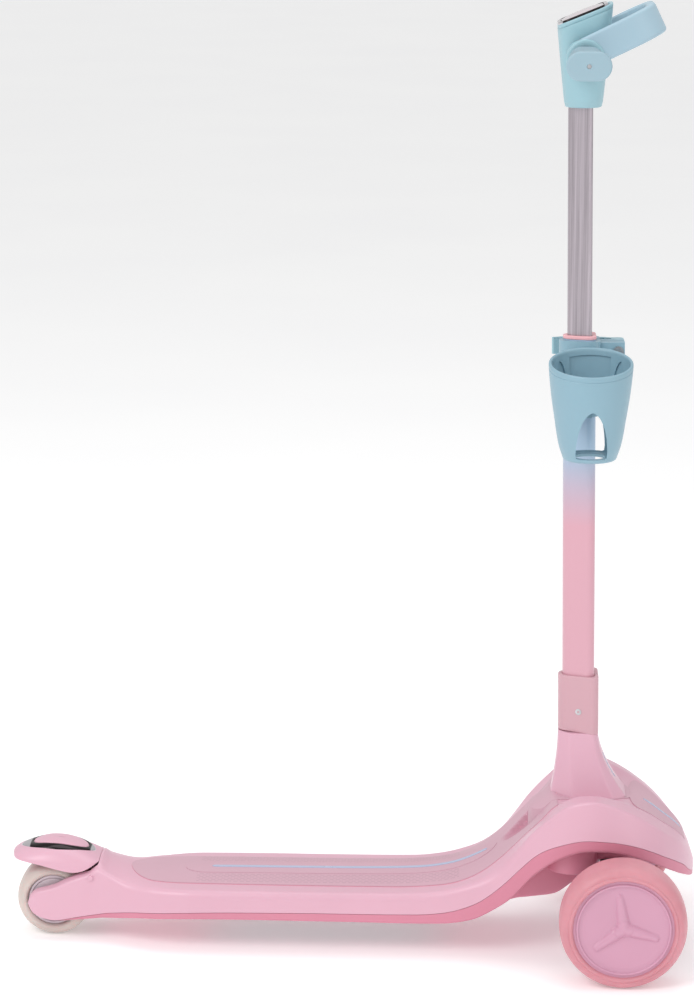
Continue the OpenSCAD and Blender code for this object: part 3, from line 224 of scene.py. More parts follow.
def coords(tree, scale=(1, 1, 1)):
    where = tree.nodes.new("ShaderNodeTexCoord")
    mapping = tree.nodes.new("ShaderNodeMapping")
    mapping.inputs["Scale"].default_value = scale
    tree.links.new(where.outputs["Object"], mapping.inputs["Vector"])
    return mapping.outputs["Vector"]


def noise(tree, vector, scale, detail, rough=0.55):
    node = tree.nodes.new("ShaderNodeTexNoise")
    node.inputs["Scale"].default_value = scale
    node.inputs["Detail"].default_value = detail
    node.inputs["Roughness"].default_value = rough
    tree.links.new(vector, node.inputs["Vector"])
    return node.outputs["Fac"]


def ramp(tree, value, stops):
    node = tree.nodes.new("ShaderNodeValToRGB")
    while len(node.color_ramp.elements) < len(stops):
        node.color_ramp.elements.new(0.5)
    for element, (place, colour) in zip(node.color_ramp.elements, stops):
        element.position = place
        element.color = (*colour, 1)
    tree.links.new(value, node.inputs["Fac"])
    return node.outputs["Color"]


def spread(tree, value, low, high):
    node = tree.nodes.new("ShaderNodeMapRange")
    node.inputs["To Min"].default_value = low
    node.inputs["To Max"].default_value = high
    tree.links.new(value, node.inputs["Value"])
    return node.outputs["Result"]


def calc(tree, kind, a, b=None):
    node = tree.nodes.new("ShaderNodeMath")
    node.operation = kind
    for socket, value in zip(node.inputs, (a, b)):
        if value is None:
            continue
        if isinstance(value, (int, float)):
            socket.default_value = value
        else:
            tree.links.new(value, socket)
    return node.outputs[0]


def bumped(tree, height, strength, distance):
    node = tree.nodes.new("ShaderNodeBump")
    node.inputs["Strength"].default_value = strength
    node.inputs["Distance"].default_value = distance
    tree.links.new(height, node.inputs["Height"])
    feed(tree, {"Normal": node.outputs["Normal"]})


def shade(colour, amount):
    return tuple(max(0.0, min(1.0, c * amount)) for c in colour)


def linear(red, green, blue):        # screen colour 0-255 to the shader's linear colour
    return tuple(((c / 255 + 0.055) / 1.055) ** 2.4 if c > 10 else c / 3295 for c in (red, green, blue))


def mouldedPlastic(name, colour, roughness, grain, coat=0.0, depth=0.05):
    # injection moulding: faint flow mottle, fine grain and slightly uneven gloss
    mat, tree = blank(name)
    where = coords(tree)
    flow = ramp(tree, noise(tree, where, 9, 3), [(0.3, shade(colour, 0.975)), (0.7, shade(colour, 1.02))])
    gloss = noise(tree, where, 60, 5)
    feed(tree, {"Base Color": flow, "Roughness": spread(tree, gloss, roughness - 0.05, roughness + 0.07),
                "Specular IOR Level": 0.42, "Subsurface Weight": 0.06,
                "Subsurface Radius": (0.004, 0.002, 0.002), "Coat Weight": coat, "Coat Roughness": 0.2})
    bumped(tree, noise(tree, where, 1800, 2), grain, depth * mm)
    return mat


def tyreUrethane(name, colour, glow):
    # cast urethane: cloudy depth, dull scuffs on the tread and a soft skin
    mat, tree = blank(name)
    where = coords(tree)
    cloud = noise(tree, where, 26, 4)
    scuff = noise(tree, where, 220, 6)
    feed(tree, {"Base Color": ramp(tree, cloud, [(0.25, shade(colour, 0.94)), (0.75, glow)]),
                "Roughness": spread(tree, scuff, 0.34, 0.56), "Specular IOR Level": 0.45,
                "Subsurface Weight": 0.35, "Subsurface Radius": (0.012, 0.005, 0.005)})
    bumped(tree, scuff, 0.1, 0.06 * mm)
    return mat


def brushedAlloy(name, colour, stretch):
    # drawn tube: long grey streaks, a fine brushing and dull patches
    mat, tree = blank(name)
    streak = noise(tree, coords(tree, stretch), 2.2, 8, 0.7)
    tone = ramp(tree, streak, [(0.3, shade(colour, 0.62)), (0.5, colour), (0.68, shade(colour, 1.3))])
    patch = noise(tree, coords(tree, (1, 1, 0.4)), 40, 5)
    feed(tree, {"Base Color": tone, "Roughness": spread(tree, patch, 0.25, 0.46), "Metallic": 0.85,
                "Anisotropic": 0.4})
    bumped(tree, noise(tree, coords(tree, stretch), 12, 3), 0.12, 0.04 * mm)
    return mat


def platedSteel(name, colour, roughness):
    # zinc plate: faint bloom and small dull spots
    mat, tree = blank(name)
    where = coords(tree)
    bloom = ramp(tree, noise(tree, where, 90, 5), [(0.35, shade(colour, 0.8)), (0.65, shade(colour, 1.1))])
    spots = spread(tree, noise(tree, where, 300, 4), roughness - 0.08, roughness + 0.15)
    feed(tree, {"Base Color": bloom, "Roughness": spots, "Metallic": 1.0})
    bumped(tree, noise(tree, where, 900, 2), 0.08, 0.03 * mm)
    return mat


def chromeWithPaintedReflection(name, middle, half):
    # polished trim: a painted dark reflection along its straight stretch, pale satin chrome at both ends
    mat, tree = blank(name)
    where = coords(tree)
    away = calc(tree, "ABSOLUTE", calc(tree, "SUBTRACT", axes(tree, where)["X"], middle))
    ends = calc(tree, "DIVIDE", calc(tree, "SUBTRACT", away, half), 0.0012)
    haze = calc(tree, "MULTIPLY", noise(tree, where, 190, 4), 0.5)
    # the two dark stops are the painted dark reflection; the pale stop is the chrome's own colour at the ends
    tone = ramp(tree, calc(tree, "ADD", ends, haze),
                [(0.2, (0.035, 0.03, 0.032)), (0.34, (0.1, 0.09, 0.095)), (0.9, (0.62, 0.6, 0.63))])
    feed(tree, {"Base Color": tone, "Roughness": spread(tree, noise(tree, where, 160, 5), 0.04, 0.13),
                "Metallic": 1.0})
    bumped(tree, noise(tree, where, 120, 2), 0.05, 0.1 * mm)
    return mat


def fadedPaint(name, low, high, top, bottom):
    # gloss paint that fades from blue under the cup through lilac to pink
    mat, tree = blank(name)
    where = coords(tree)
    height = tree.nodes.new("ShaderNodeMapRange")
    height.inputs["From Min"].default_value = low
    height.inputs["From Max"].default_value = high
    tree.links.new(axes(tree, where)["Z"], height.inputs["Value"])
    ripple = calc(tree, "MULTIPLY", noise(tree, where, 14, 3), 0.06)
    level = calc(tree, "ADD", height.outputs["Result"], calc(tree, "SUBTRACT", ripple, 0.03))
    middle = tuple((a + b) / 2 for a, b in zip(top, bottom))
    peel = noise(tree, where, 260, 3)
    feed(tree, {"Base Color": ramp(tree, level, [(0.0, bottom), (0.55, middle), (1.0, top)]),
                "Roughness": spread(tree, peel, 0.26, 0.38), "Coat Weight": 0.25, "Coat Roughness": 0.15})
    bumped(tree, peel, 0.08, 0.06 * mm)
    return mat


def blended(tree, factor, a, b):
    node = tree.nodes.new("ShaderNodeMix")
    node.data_type = "RGBA"
    tree.links.new(factor, node.inputs["Factor"])
    tree.links.new(a, node.inputs["A"])
    node.inputs["B"].default_value = (*b, 1)
    return node.outputs["Result"]


def treadPlastic(name, colour, dishShadedColour, rows):
    # standing surface: bands of short moulded dashes either side of the middle, plain elsewhere; the hollow
    # mixes in by its depth a darker pink, the body plastic's own colour darkened as painted shade in the
    # recess
    mat, tree = blank(name)
    where = coords(tree)
    do = lambda kind, a, b=None: calc(tree, kind, a, b)
    forward, across = axes(tree, where)["X"], do("ABSOLUTE", axes(tree, where)["Y"])
    both = lambda a, b: do("MULTIPLY", a, b)
    within = lambda value, low, high: both(do("GREATER_THAN", value, low), do("LESS_THAN", value, high))
    middle = lambda value: do("ABSOLUTE", do("SUBTRACT", do("FRACT", value), 0.5))
    near = lambda value, reach: do("LESS_THAN", middle(value), reach)
    row = do("DIVIDE", across, rows["pitchY"])
    shift = do("MULTIPLY", do("MODULO", do("FLOOR", row), 2.0), 0.5)
    dash = both(near(do("ADD", do("DIVIDE", forward, rows["pitchX"]), shift), 0.33), near(row, 0.22))
    band = both(within(across, rows["inner"], rows["outer"]), within(forward, rows["start"], rows["end"]))
    pattern = both(dash, band)
    flow = ramp(tree, noise(tree, where, 12, 3), [(0.3, shade(colour, 0.97)), (0.7, shade(colour, 1.02))])
    dark = blended(tree, do("MULTIPLY", pattern, 0.5), flow, shade(colour, 0.7))
    hollow = tree.nodes.new("ShaderNodeAttribute")
    hollow.attribute_name = "hollow"
    # the hollow's colour is bare body plastic made darker: partly its own colour, partly painted shade
    feed(tree, {"Base Color": blended(tree, hollow.outputs["Fac"], dark, dishShadedColour),
                "Roughness": spread(tree, noise(tree, where, 70, 4), 0.42, 0.56), "Specular IOR Level": 0.4})
    grain = noise(tree, where, 1500, 2)
    bumped(tree, do("ADD", do("MULTIPLY", pattern, 0.8), do("MULTIPLY", grain, 0.12)), 0.5, 0.3 * mm)
    return mat


tread = {"inner": 0.019, "outer": 0.037, "start": -0.150, "end": 0.105, "pitchX": 0.0062, "pitchY": 0.0031}
finishes = {
    "body": mouldedPlastic("bodyPinkPlastic", linear(219, 172, 189), 0.34, 0.1, 0.08),
    "lip": mouldedPlastic("lipPinkPlastic", linear(212, 136, 157), 0.42, 0.14),
    "stripe": mouldedPlastic("stripeBlueInlay", linear(176, 186, 212), 0.25, 0.05, 0.2),
    "frontTyre": tyreUrethane("salmonUrethane", linear(209, 138, 149), linear(218, 152, 163)),
    "hubCap": mouldedPlastic("lilacCapPlastic", linear(206, 153, 176), 0.3, 0.08, 0.1),
    "rearTyre": tyreUrethane("creamUrethane", linear(208, 192, 186), linear(218, 204, 197)),
    "rearHub": mouldedPlastic("paleHubPlastic", linear(205, 190, 197), 0.32, 0.08, 0.1),
    # brake and badge trims: chrome with a painted dark reflection along the middle
    "brakeChrome": chromeWithPaintedReflection("brakeTrimChrome", -0.2855, 0.029),
    "badgeChrome": chromeWithPaintedReflection("badgeTrimChrome", 0.2122, 0.0185),
    "zinc": platedSteel("zincPlate", (0.55, 0.55, 0.57), 0.28),
    "spring": platedSteel("oiledSpringSteel", (0.18, 0.18, 0.2), 0.36),
    "nylon": mouldedPlastic("darkNylon", (0.022, 0.022, 0.026), 0.5, 0.2),
    "alloy": brushedAlloy("drawnTube", linear(180, 171, 178), (160, 160, 1.6)),
    "crossAlloy": brushedAlloy("drawnCrossbar", (0.45, 0.44, 0.47), (160, 1.6, 160)),
    "cup": mouldedPlastic("cupBluePlastic", linear(139, 173, 188), 0.38, 0.12, 0.05),
    "head": mouldedPlastic("headBluePlastic", linear(152, 189, 199), 0.38, 0.12, 0.05),
    "loop": mouldedPlastic("loopBluePlastic", linear(163, 190, 204), 0.4, 0.14, 0.04),
    "grip": mouldedPlastic("gripRubber", linear(142, 168, 180), 0.55, 0.3, 0.0, 0.12),
    "flange": mouldedPlastic("flangeBluePlastic", linear(153, 180, 192), 0.45, 0.2),
    "badge": mouldedPlastic("badgeWhite", linear(198, 186, 192), 0.16, 0.03, 0.6),
    "bush": mouldedPlastic("bushPinkPlastic", linear(236, 178, 184), 0.36, 0.1),
    "collar": mouldedPlastic("collarPinkPlastic", linear(205, 162, 172), 0.36, 0.1, 0.08),
    "pad": treadPlastic("padPinkPlastic", linear(206, 166, 180), linear(196, 142, 160), tread),
    "stem": fadedPaint("fadedStemPaint", 0.415, 0.485, linear(160, 185, 207), linear(213, 161, 175)),
}
print("materials ready")


# lines of the body in mm as (place along the scooter, value)
lines = {
    "middle": [(-316, 37), (-313.4, 45), (-307.4, 50.5), (-297.4, 53.2), (-287.4, 56.6), (-278.4, 61.5),
               (-266.4, 66.4), (-255.4, 70.5), (-248.4, 76), (-245, 80), (-237.4, 75), (-225.4, 70.5),
               (-201.4, 65.6), (-141.4, 66.2), (7.6, 67), (62.6, 68.6), (87.6, 71.6), (106.6, 76.6),
               (130.6, 87.6), (149.6, 100.6), (169.6, 119), (183.6, 135), (193.6, 148.5), (203.6, 150),
               (259.6, 150), (267.6, 148), (283.6, 141), (300.6, 129), (318.6, 114), (327, 99), (332, 84)],
    "innerY": [(-316, 25), (-300, 27), (-266, 27), (-246, 22), (-216.4, 30), (-191.4, 38), (-161.4, 42.5),
               (27.6, 44.5), (87.6, 46), (185.6, 48.5), (205.6, 53), (226.6, 57), (259.6, 56),
               (289.6, 47),
               (309.6, 33), (322, 21), (328, 12), (332, 2)],
    "innerZ": [(-316, 36.5), (-313.4, 44.6), (-307.4, 50), (-297.4, 52.8), (-287.4, 56.2), (-278.4, 61),
               (-266.4, 66), (-255.4, 70), (-246, 77), (-237.4, 71.5), (-216.4, 65), (-191.4, 63),
               (-171.4, 62.6), (42.6, 62.6), (87.6, 65.8), (106.6, 70.2), (126.6, 80), (145.6, 95.6),
               (169.6, 120.4), (184.6, 135), (202.6, 153.5), (215.6, 161), (227.6, 163), (239.6, 162.5),
               (259.6, 157), (283.6, 143.5), (300.6, 130), (318.6, 113), (327, 98), (332, 84)],
    "creaseY": [(-316, 28), (-308, 32), (-266, 33), (-246, 32), (-216.4, 42), (-191.4, 52), (-151.4, 61),
                (87.6, 62), (145.6, 62), (159.6, 64), (175.6, 67.5), (193.6, 72), (209.6, 76.5),
                (227.6, 80),
                (239.6, 80), (257.6, 77.5), (277.6, 72), (297.6, 62), (311.6, 46), (322, 31), (328, 17),
                (332, 4)],
    "creaseZ": [(-316, 36), (-313.4, 43), (-307.4, 48), (-297.4, 50.5), (-287.4, 53.6), (-278.4, 57.5),
                (-266.4, 62), (-255.4, 66), (-246, 71), (-216.4, 61), (-191.4, 60.6), (-151.4, 62),
                (62.6, 62.6), (87.6, 65.6), (105.6, 70.1), (126.6, 77.6), (145.6, 90.6), (159.6, 108),
                (173.6, 126.5), (193.6, 146), (209.6, 158), (227.6, 163), (239.6, 162.3), (257.6, 155.7),
                (277.6, 144.6), (297.6, 130), (318.6, 109), (327, 96), (332, 83.5)],
    "seamY": [(-316, 29), (-311, 33.5), (-304, 34.5), (-246, 34.5), (-235.4, 38), (-203.4, 53),
              (-181.4, 59.5),
              (-144.4, 62.5), (27.6, 63.5), (87.6, 64), (126.6, 66.5), (145.6, 68.5), (165.6, 72.5),
              (184.6, 78.5), (198.6, 83), (220.6, 88), (239.6, 90), (257.6, 88), (277.6, 83), (297.6, 72),
              (311.6, 57), (319.6, 45), (326, 32), (330, 18), (332, 5)],
    "seamZ": [(-316, 37), (-312.4, 30.5), (-305.4, 25), (-294.4, 21.5), (-286, 21), (-266, 24.6),
              (-246, 28),
              (-235.4, 30.6), (-203.4, 36.7), (-144.4, 41), (-52.4, 42.5), (60.6, 43), (87.6, 45),
              (107.6, 50), (126.6, 59), (145.6, 74.5), (164.6, 94.5), (174.6, 105), (184.6, 113),
              (198.6, 120), (220.6, 127), (239.6, 127.7), (259.6, 125), (277.6, 119.5), (297.6, 109),
              (319.6, 92), (329, 78), (332, 75)],
    "lipZ": [(-286, 20.4), (-280.4, 20), (-246, 22.8), (-228.4, 25.3), (-200.4, 30), (-144.4, 33.2),
             (-2.4, 33.2), (87.6, 33.2), (117.6, 38.3), (135.6, 47.5), (154.6, 62), (174.6, 86),
             (184.6, 95.5),
             (198.6, 106), (220.6, 116), (239.6, 117.4), (259.6, 114.5), (277.6, 107.7), (297.6, 97.4),
             (319.6, 81), (327, 74.5), (332, 69)],
    "panZ": [(-286, 20.4), (-246, 22.5), (-200.4, 30), (-144.4, 33), (87.6, 33), (117.6, 38),
             (135.6, 46.5), (154.6, 58), (174.6, 79), (197.6, 97), (219.6, 107), (249.6, 110),
             (279.6, 102),
             (299.6, 92), (319.6, 79), (332, 69)],
    "keelY": [(-286, 27), (-246, 22), (-200.4, 36), (-144.4, 42), (87.6, 44), (259.6, 42), (299.6, 32),
              (319.6, 18), (332, 2)],
    "keelZ": [(-286, 20.4), (-246, 22.5), (-200.4, 30), (-144.4, 33), (87.6, 33), (105.6, 34.5),
              (117.6, 37.5),
              (130.6, 43), (142.6, 49), (155.6, 53), (175.6, 55.5), (196.6, 58.7), (204.6, 63),
              (214.6, 71),
              (226.6, 81), (239.6, 93), (283.6, 93), (301.6, 89), (319.6, 77), (332, 69)],
}
topShape = {"dishStart": 144, "dishEnd": 174, "dishHalf": 23, "dishDepth": 9, "dishEdge": 5,
            "deckPower": 2.0, "neckPower": 5.0}
bodyShape = {"rearTip": -315.6, "nose": 332, "lipStart": -285.5, "step": 2.4, "slotHalf": 25.5,
             "slotEnd": -246.2,
             "lipGap": 0.45, "lipCorner": 2.5, "edge": 0.5}
print("body lines ready")


def line(name, x):
    return along(x, lines[name])


def dishDrop(x, y):
    t = (x - topShape["dishStart"]) / (topShape["dishEnd"] - topShape["dishStart"])
    if t <= 0 or t > 1.35:
        return 0.0
    half = topShape["dishHalf"] * math.sqrt(min(1, t))
    deep = topShape["dishDepth"] * ease(min(1, t * 1.3)) * ease((1.35 - t) / 0.2)
    return deep * ease((half - abs(y)) / topShape["dishEdge"])


def topHeight(x, y):
    wide, middle, edge = line("innerY", x), line("middle", x), line("innerZ", x)
    power = along(x, [(87.6, topShape["deckPower"]), (147.6, 2.4), (197.6, topShape["neckPower"]),
                      (259.6, topShape["neckPower"]), (299.6, 2.5), (332, 2)])
    return middle + (edge - middle) * min(abs(y) / wide, 1) ** power - dishDrop(x, y)


def upperHalf(x):        # from the seam up and over to the middle, right side, as (y, z)
    seam = (-line("seamY", x), line("seamZ", x))
    crease = (-line("creaseY", x), line("creaseZ", x))
    edge = (-line("innerY", x), line("innerZ", x))
    soft = along(x, [(-316, 4), (-246, 8), (-191.4, 12), (107.6, 12), (167.6, 4), (332, 3)])
    inside = (edge[0] * 0.86, topHeight(x, edge[0] * 0.86))
    out = [seam] + bend(seam, crease, edge, soft, 9) + bend(crease, edge, inside, 3.5, 5)
    return out + [(edge[0] * (1 - k / 24), topHeight(x, edge[0] * (1 - k / 24))) for k in range(4, 25)]


def lowerHalf(x):        # from the seam down and under to the middle
    top = line("seamZ", x) - bodyShape["lipGap"]
    seam = (-line("seamY", x), top)
    lip = (seam[0] + min(2, -seam[0] / 4), min(line("lipZ", x), top - 0.3))
    keelY, keelZ = line("keelY", x), line("keelZ", x)
    pan = (-max(-lip[0] - 12, keelY + 3, -lip[0] * 0.7), min(line("panZ", x), top - 0.4))
    fold = (-min(keelY + 2, -pan[0] - 0.5), pan[1] - 0.5)
    keel = (-min(keelY, -fold[0] - 0.5), min(keelZ, fold[1] - 0.05))
    middle = (0, keel[1])
    return ([seam] + bend(seam, lip, pan, bodyShape["lipCorner"], 5) + bend(pan, fold, keel, 4, 4)
            + bend(fold, keel, middle, 5, 5) + [middle])


def bodyRings(half, start, end):
    count = round((end - start) / bodyShape["step"])
    spots = [start, start + 0.5, start + 1.4] + [mix(start, end, i / count) for i in range(1, count)]
    spots += [end - 1.4, end - 0.6, end - 0.1]
    spots += [x + 1.2 for x in range(142, 182, 2)]
    rings = []
    for x in sorted(set(round(s, 3) for s in spots)):
        rings.append([(x, y, z) for y, z in mirrored(half(x))])
    return rings


def wheelSlot():        # clears the rear wheel between the fork arms
    half, end = bodyShape["slotHalf"], bodyShape["slotEnd"]
    outline = rounded([(-360, -half), (end, -half), (end, half), (-360, half)], 4, 5)
    return cutter(*prism(outline, lambda u, v, h: (u, v, h), 0, 130))


bodyUpper = loft("bodyUpper", bodyRings(upperHalf, bodyShape["rearTip"], bodyShape["nose"]), "frame",
                 "body_pink", ["deck_shell"], "body")
cutBy(bodyUpper, [wheelSlot()])
edgeWork(bodyUpper, bodyShape["edge"] * mm)

bossShape = {"x": 213, "y": 46, "radius": 24, "bottom": 87, "top": 112, "round": 2.5}


def lowerBoss(side):        # round boss under the wheel arch, beside the keel
    r, low = bossShape["radius"], bossShape["bottom"]
    profile = [(0.01, low), (r - bossShape["round"], low), (r - 0.7, low + 0.8),
               (r, low + bossShape["round"]), (r, bossShape["top"]), (0.01, bossShape["top"])]
    place = lambda r, a, h: (bossShape["x"] + r * math.cos(a), side * bossShape["y"] + r * math.sin(a), h)
    return ringSolid([circle(place, rr, h, 72) for rr, h in profile], False)


bodyLower = loft("bodyLower", bodyRings(lowerHalf, bodyShape["lipStart"], bodyShape["nose"] - 0.4), "frame",
                 "lip_pink", ["lower_shell"], "lip")
cutBy(bodyLower, [wheelSlot()])
edgeWork(bodyLower, bodyShape["edge"] * mm)
for side in (-1, 1):
    boss = piece("bellyBoss", *lowerBoss(side), "frame", "lip_pink", [], "lip")
    edgeWork(boss, 0.3 * mm)
print("body shells ready")


# seam, seamLift and seamThick size the thin sheet that paints the shadow in the seam round the pad
padShape = {"start": -216.2, "end": 199, "inset": 3, "rearRound": 26, "lift": -0.45, "thick": 1.05,
            "across": 46, "seam": 0.8, "seamLift": -0.6, "seamThick": 0.72, "hollowDeep": 1.6,
            "inlayFrom": -163, "inlayTo": 141, "inlayHalf": 16.5, "inlayHigh": 0.5,
            "inlayRear": 22, "inlayFront": 26}


def padHalf(x):
    edge = line("innerY", x) - padShape["inset"]
    d = (x - padShape["start"]) / padShape["rearRound"]
    return edge if d >= 1 else max(2.5, edge * math.sqrt(max(0, 1 - (1 - d) ** 2)))


def sheetRings(spots, half, lift, thick, across):
    rings = []
    for x in spots:
        h = half(x)
        steps = [2 * h * j / across for j in range(across + 1)]
        top = [(x, h - y, topHeight(x, h - y) + lift + thick) for y in steps]
        low = [(x, y - h, topHeight(x, y - h) + lift - 1) for y in steps]
        rings.append(top + low)
    return rings


def spaced(start, end, step, tips=()):
    count = max(2, round((end - start) / step))
    spots = [mix(start, end, i / count) for i in range(count + 1)] + [start + t for t in tips]
    return sorted(set(round(s, 3) for s in spots))


def sheet(name, spots, half, lift, thick, across, slot, nodes, finish, edge=0.0, segments=3):
    obj = loft(name, sheetRings(spots, half, lift, thick, across), "frame", slot, nodes, finish)
    if edge:
        edgeWork(obj, edge * mm, segments)
    return obj


padSpots = spaced(padShape["start"], padShape["end"], 2, (0.4, 1, 3))
padSpots = sorted(padSpots + [x + 1.1 for x in range(142, 182, 2)])        # closer together in the hollow
deckPad = sheet("deckPad", padSpots, padHalf, padShape["lift"], padShape["thick"], padShape["across"],
                "pad_pink", ["deck_pad"], "pad", 0.35)
# depth of the hollow, which mixes in the darker pink: body plastic with painted shade
hollow = deckPad.data.attributes.new("hollow", "FLOAT", "POINT")
for vert, value in zip(deckPad.data.vertices, hollow.data):
    value.value = min(1.0, dishDrop(vert.co.x / mm, vert.co.y / mm) / padShape["hollowDeep"])
# thin sheet of the darker lip pink just wider than the pad: a painted shadow along the seam round the pad
sheet("padSeamShadow", padSpots, lambda x: padHalf(x) + padShape["seam"], padShape["seamLift"],
      padShape["seamThick"], padShape["across"], "lip_pink", [], "lip")


def inlayHalf(x):        # smooth raised middle of the pad, round at both ends
    p = padShape
    near = min(1.0, max(0.0, x - p["inlayFrom"]) / p["inlayRear"],
               max(0.0, p["inlayTo"] - x) / p["inlayFront"])
    return max(1.2, p["inlayHalf"] * math.sqrt(max(0.0, 1 - (1 - near) ** 2)))


padTop = padShape["lift"] + padShape["thick"]
sheet("deckInlay", spaced(padShape["inlayFrom"], padShape["inlayTo"], 2, (0.4, 1, 3)), inlayHalf, padTop,
      padShape["inlayHigh"], 12, "pad_pink", [], "pad", 0.15, 2)
stripeShape = {"half": 2.7, "thick": 0.35, "from": -137, "to": 132, "noseFrom": 283, "noseTo": 319,
               "noseHalf": 2.3}


def stripeHalf(start, end, half):
    return lambda x: max(0.5, half * math.sqrt(max(0, min(1, (x - start + 0.4) / 3, (end - x + 0.4) / 3))))


sheet("deckStripe", spaced(stripeShape["from"], stripeShape["to"], 2, (0.5, 1, 3)),
      stripeHalf(stripeShape["from"], stripeShape["to"], stripeShape["half"]), padTop + padShape["inlayHigh"],
      stripeShape["thick"], 6, "stripe_blue", ["deck_stripe"], "stripe", 0.12)
panelShape = {"start": 268.5, "end": 322.6, "share": 0.86, "lift": 0.0, "thick": 0.9}


def panelHalf(x):
    d = (x - panelShape["start"]) / 10
    wide = line("innerY", x) * panelShape["share"]
    return wide if d >= 1 else max(2, wide * math.sqrt(max(0.02, 1 - (1 - d) ** 2)))


sheet("frontPanel", spaced(panelShape["start"], panelShape["end"], 1.5, (0.3, 0.8)), panelHalf,
      panelShape["lift"], panelShape["thick"], 36, "pad_pink", ["front_panel"], "pad", 0.3)
sheet("frontStripe", spaced(stripeShape["noseFrom"], stripeShape["noseTo"], 1.5, (0.5, 1)),
      stripeHalf(stripeShape["noseFrom"], stripeShape["noseTo"], stripeShape["noseHalf"]),
      panelShape["lift"] + panelShape["thick"], stripeShape["thick"], 6, "stripe_blue", ["front_stripe"],
      "stripe", 0.12)

plateShape = {"front": 272, "half": 34, "rise": 0.9, "prowRise": 14.5, "prow": 171.5, "fade": 203,
              "shoulder": 31, "under": 9}
plateOutline = [(171.5, 0), (172.3, 8), (174.3, 15), (178.2, 21.5), (184, 26.5), (191.5, 30.2),
                (201, 32.6),
                (213, 33.8), (226, 34), (239, 33.3), (250, 31), (259.5, 26.5), (266.5, 19.5),
                (270.6, 10.5),
                (272, 0)]
plateStations = ([0, 0.12, 0.3, 0.6, 1.2, 2, 3, 4.2] + [5.6 + 1.6 * i for i in range(56)]
                 + [96, 97.5, 98.8, 99.5, 99.9])


def plateRings():
    rings = []
    for t in plateStations:
        x = plateShape["prow"] + t / 100 * (plateShape["front"] - plateShape["prow"])
        first, last = x - plateShape["prow"], plateShape["front"] - x
        half = plateShape["half"]
        if first > 3 and last > 3:
            half = min(half, along(x, plateOutline))
        if first <= 14:
            half = min(half, math.sqrt(max(0, first * 80)))
        if last <= 14:
            half = min(half, math.sqrt(max(0, last * 70)))
        half = max(0.6, half)
        rise = mix(plateShape["prowRise"], plateShape["rise"],
                   ease((x - plateShape["prow"]) / (plateShape["fade"] - plateShape["prow"])))
        base = lambda y: topHeight(x, y) + dishDrop(x, y)
        ys = [half * (1 - j / 12) for j in range(25)]
        extra = lambda y: (rise - plateShape["rise"]) * (1 - (abs(y) / plateShape["shoulder"]) ** 3)
        top = [(x, y, base(y) + plateShape["rise"] + max(0, extra(y))) for y in ys]
        low = [(x, y, base(y) - plateShape["under"]) for y in reversed(ys)]
        rings.append(top + low)
    return rings


neckPlate = loft("neckPlate", plateRings(), "frame", "pad_pink", [], "pad")
edgeWork(neckPlate, 0.9 * mm, 4)
print("standing surface ready")


rake = math.radians(0.667)
stemFoot = 220.8
neckShape = {"foot": 150.5, "height": 62, "power": 1.8, "corner": 2.6, "steps": 22}
stemShape = {"lowerTop": 594, "lowerFrom": 101, "lowerLen": 30.3, "upperFrom": 420, "upperTop": 846,
             "collarFrom": 213.4, "collarHigh": 55, "lowerWall": 1.8, "upperWall": 1.5, "bushHigh": 3.4}


def onStem(x, y, z):        # leans the point back with the stem
    return (stemFoot + x * math.cos(rake) - z * math.sin(rake), y, x * math.sin(rake) + z * math.cos(rake))


def neckRing(z):
    f = (1 - z / neckShape["height"]) ** neckShape["power"]
    c = stemFoot - (neckShape["foot"] + z) * math.tan(rake)
    half = stemShape["lowerLen"] / 2
    back, front = -half - 4 - 7.5 * f, half + 4 + 27 * f
    y1, y2 = half + 3.5 + 12 * f, half + 4.5 + 10.5 * f
    side = [(back, 7 + 3 * f), (-9 + 3 * f, y1), (15.5 + 19 * f, y2), (front, 14 + 6 * f)]
    corners = [(x, y, 0) for x, y in side] + [(x, -y, 0) for x, y in reversed(side)]
    ring = rounded(corners, neckShape["corner"], 5)
    return [(c + x, y, neckShape["foot"] + z) for x, y, _ in ring]


neckRings = [neckRing(neckShape["height"] * i / neckShape["steps"]) for i in range(neckShape["steps"] + 1)]
neck = loft("neck", neckRings, "frame", "body_pink", ["neck"], "body")
edgeWork(neck, 0.8 * mm, 3, 50)


def neckStripeRings():
    rings = []
    for i in range(9):
        z = 14 + 24 * i / 8
        x = max(p[0] for p in neckRing(z))
        half = 2.2 if 0 < i < 8 else 1.3
        h = neckShape["foot"] + z
        rings.append([(x - 0.6, -half, h), (x + 0.35, -half, h), (x + 0.35, half, h), (x - 0.6, half, h)])
    return rings


neckStripe = loft("neckStripe", neckStripeRings(), "frame", "stripe_blue", ["neck_stripe"], "stripe")
edgeWork(neckStripe, 0.2 * mm, 2)


def stemOutline(lenX, lenY, front, rear, grow, n=16):        # rounded triangle with its flat to the front
    fx, fy, bx = lenX / 2 - front, lenY / 2 - front, -lenX / 2 + rear
    lean = math.degrees(math.atan2(fy, fx - bx) + math.asin((front - rear) / math.hypot(fx - bx, fy)))
    return (arcPoints(fx, fy, front + grow, 0, 90 + lean, n)
            + arcPoints(bx, 0, rear + grow, 90 + lean, 270 - lean, n)
            + arcPoints(fx, -fy, front + grow, 270 - lean, 360, n))


def lowerOutline(grow=0.0):
    return stemOutline(stemShape["lowerLen"], 31.8, 6.5, 10.5, grow)


def upperOutline(grow=0.0):
    return stemOutline(22.8, 23.94, 3, 7, grow)


def sleeve(name, outline, inner, low, high, body, slot, nodes, finish, edge, steps=2):
    # hollow length of the stem's section, drawn as outside up and inside down
    rings = [[onStem(u, v, mix(low, high, i / steps)) for u, v in outline] for i in range(steps + 1)]
    rings += [[onStem(u, v, mix(high, low, i / steps)) for u, v in inner] for i in range(steps + 1)]
    edgeWork(piece(name, *loopedSolid(rings), body, slot, nodes, finish), edge * mm)


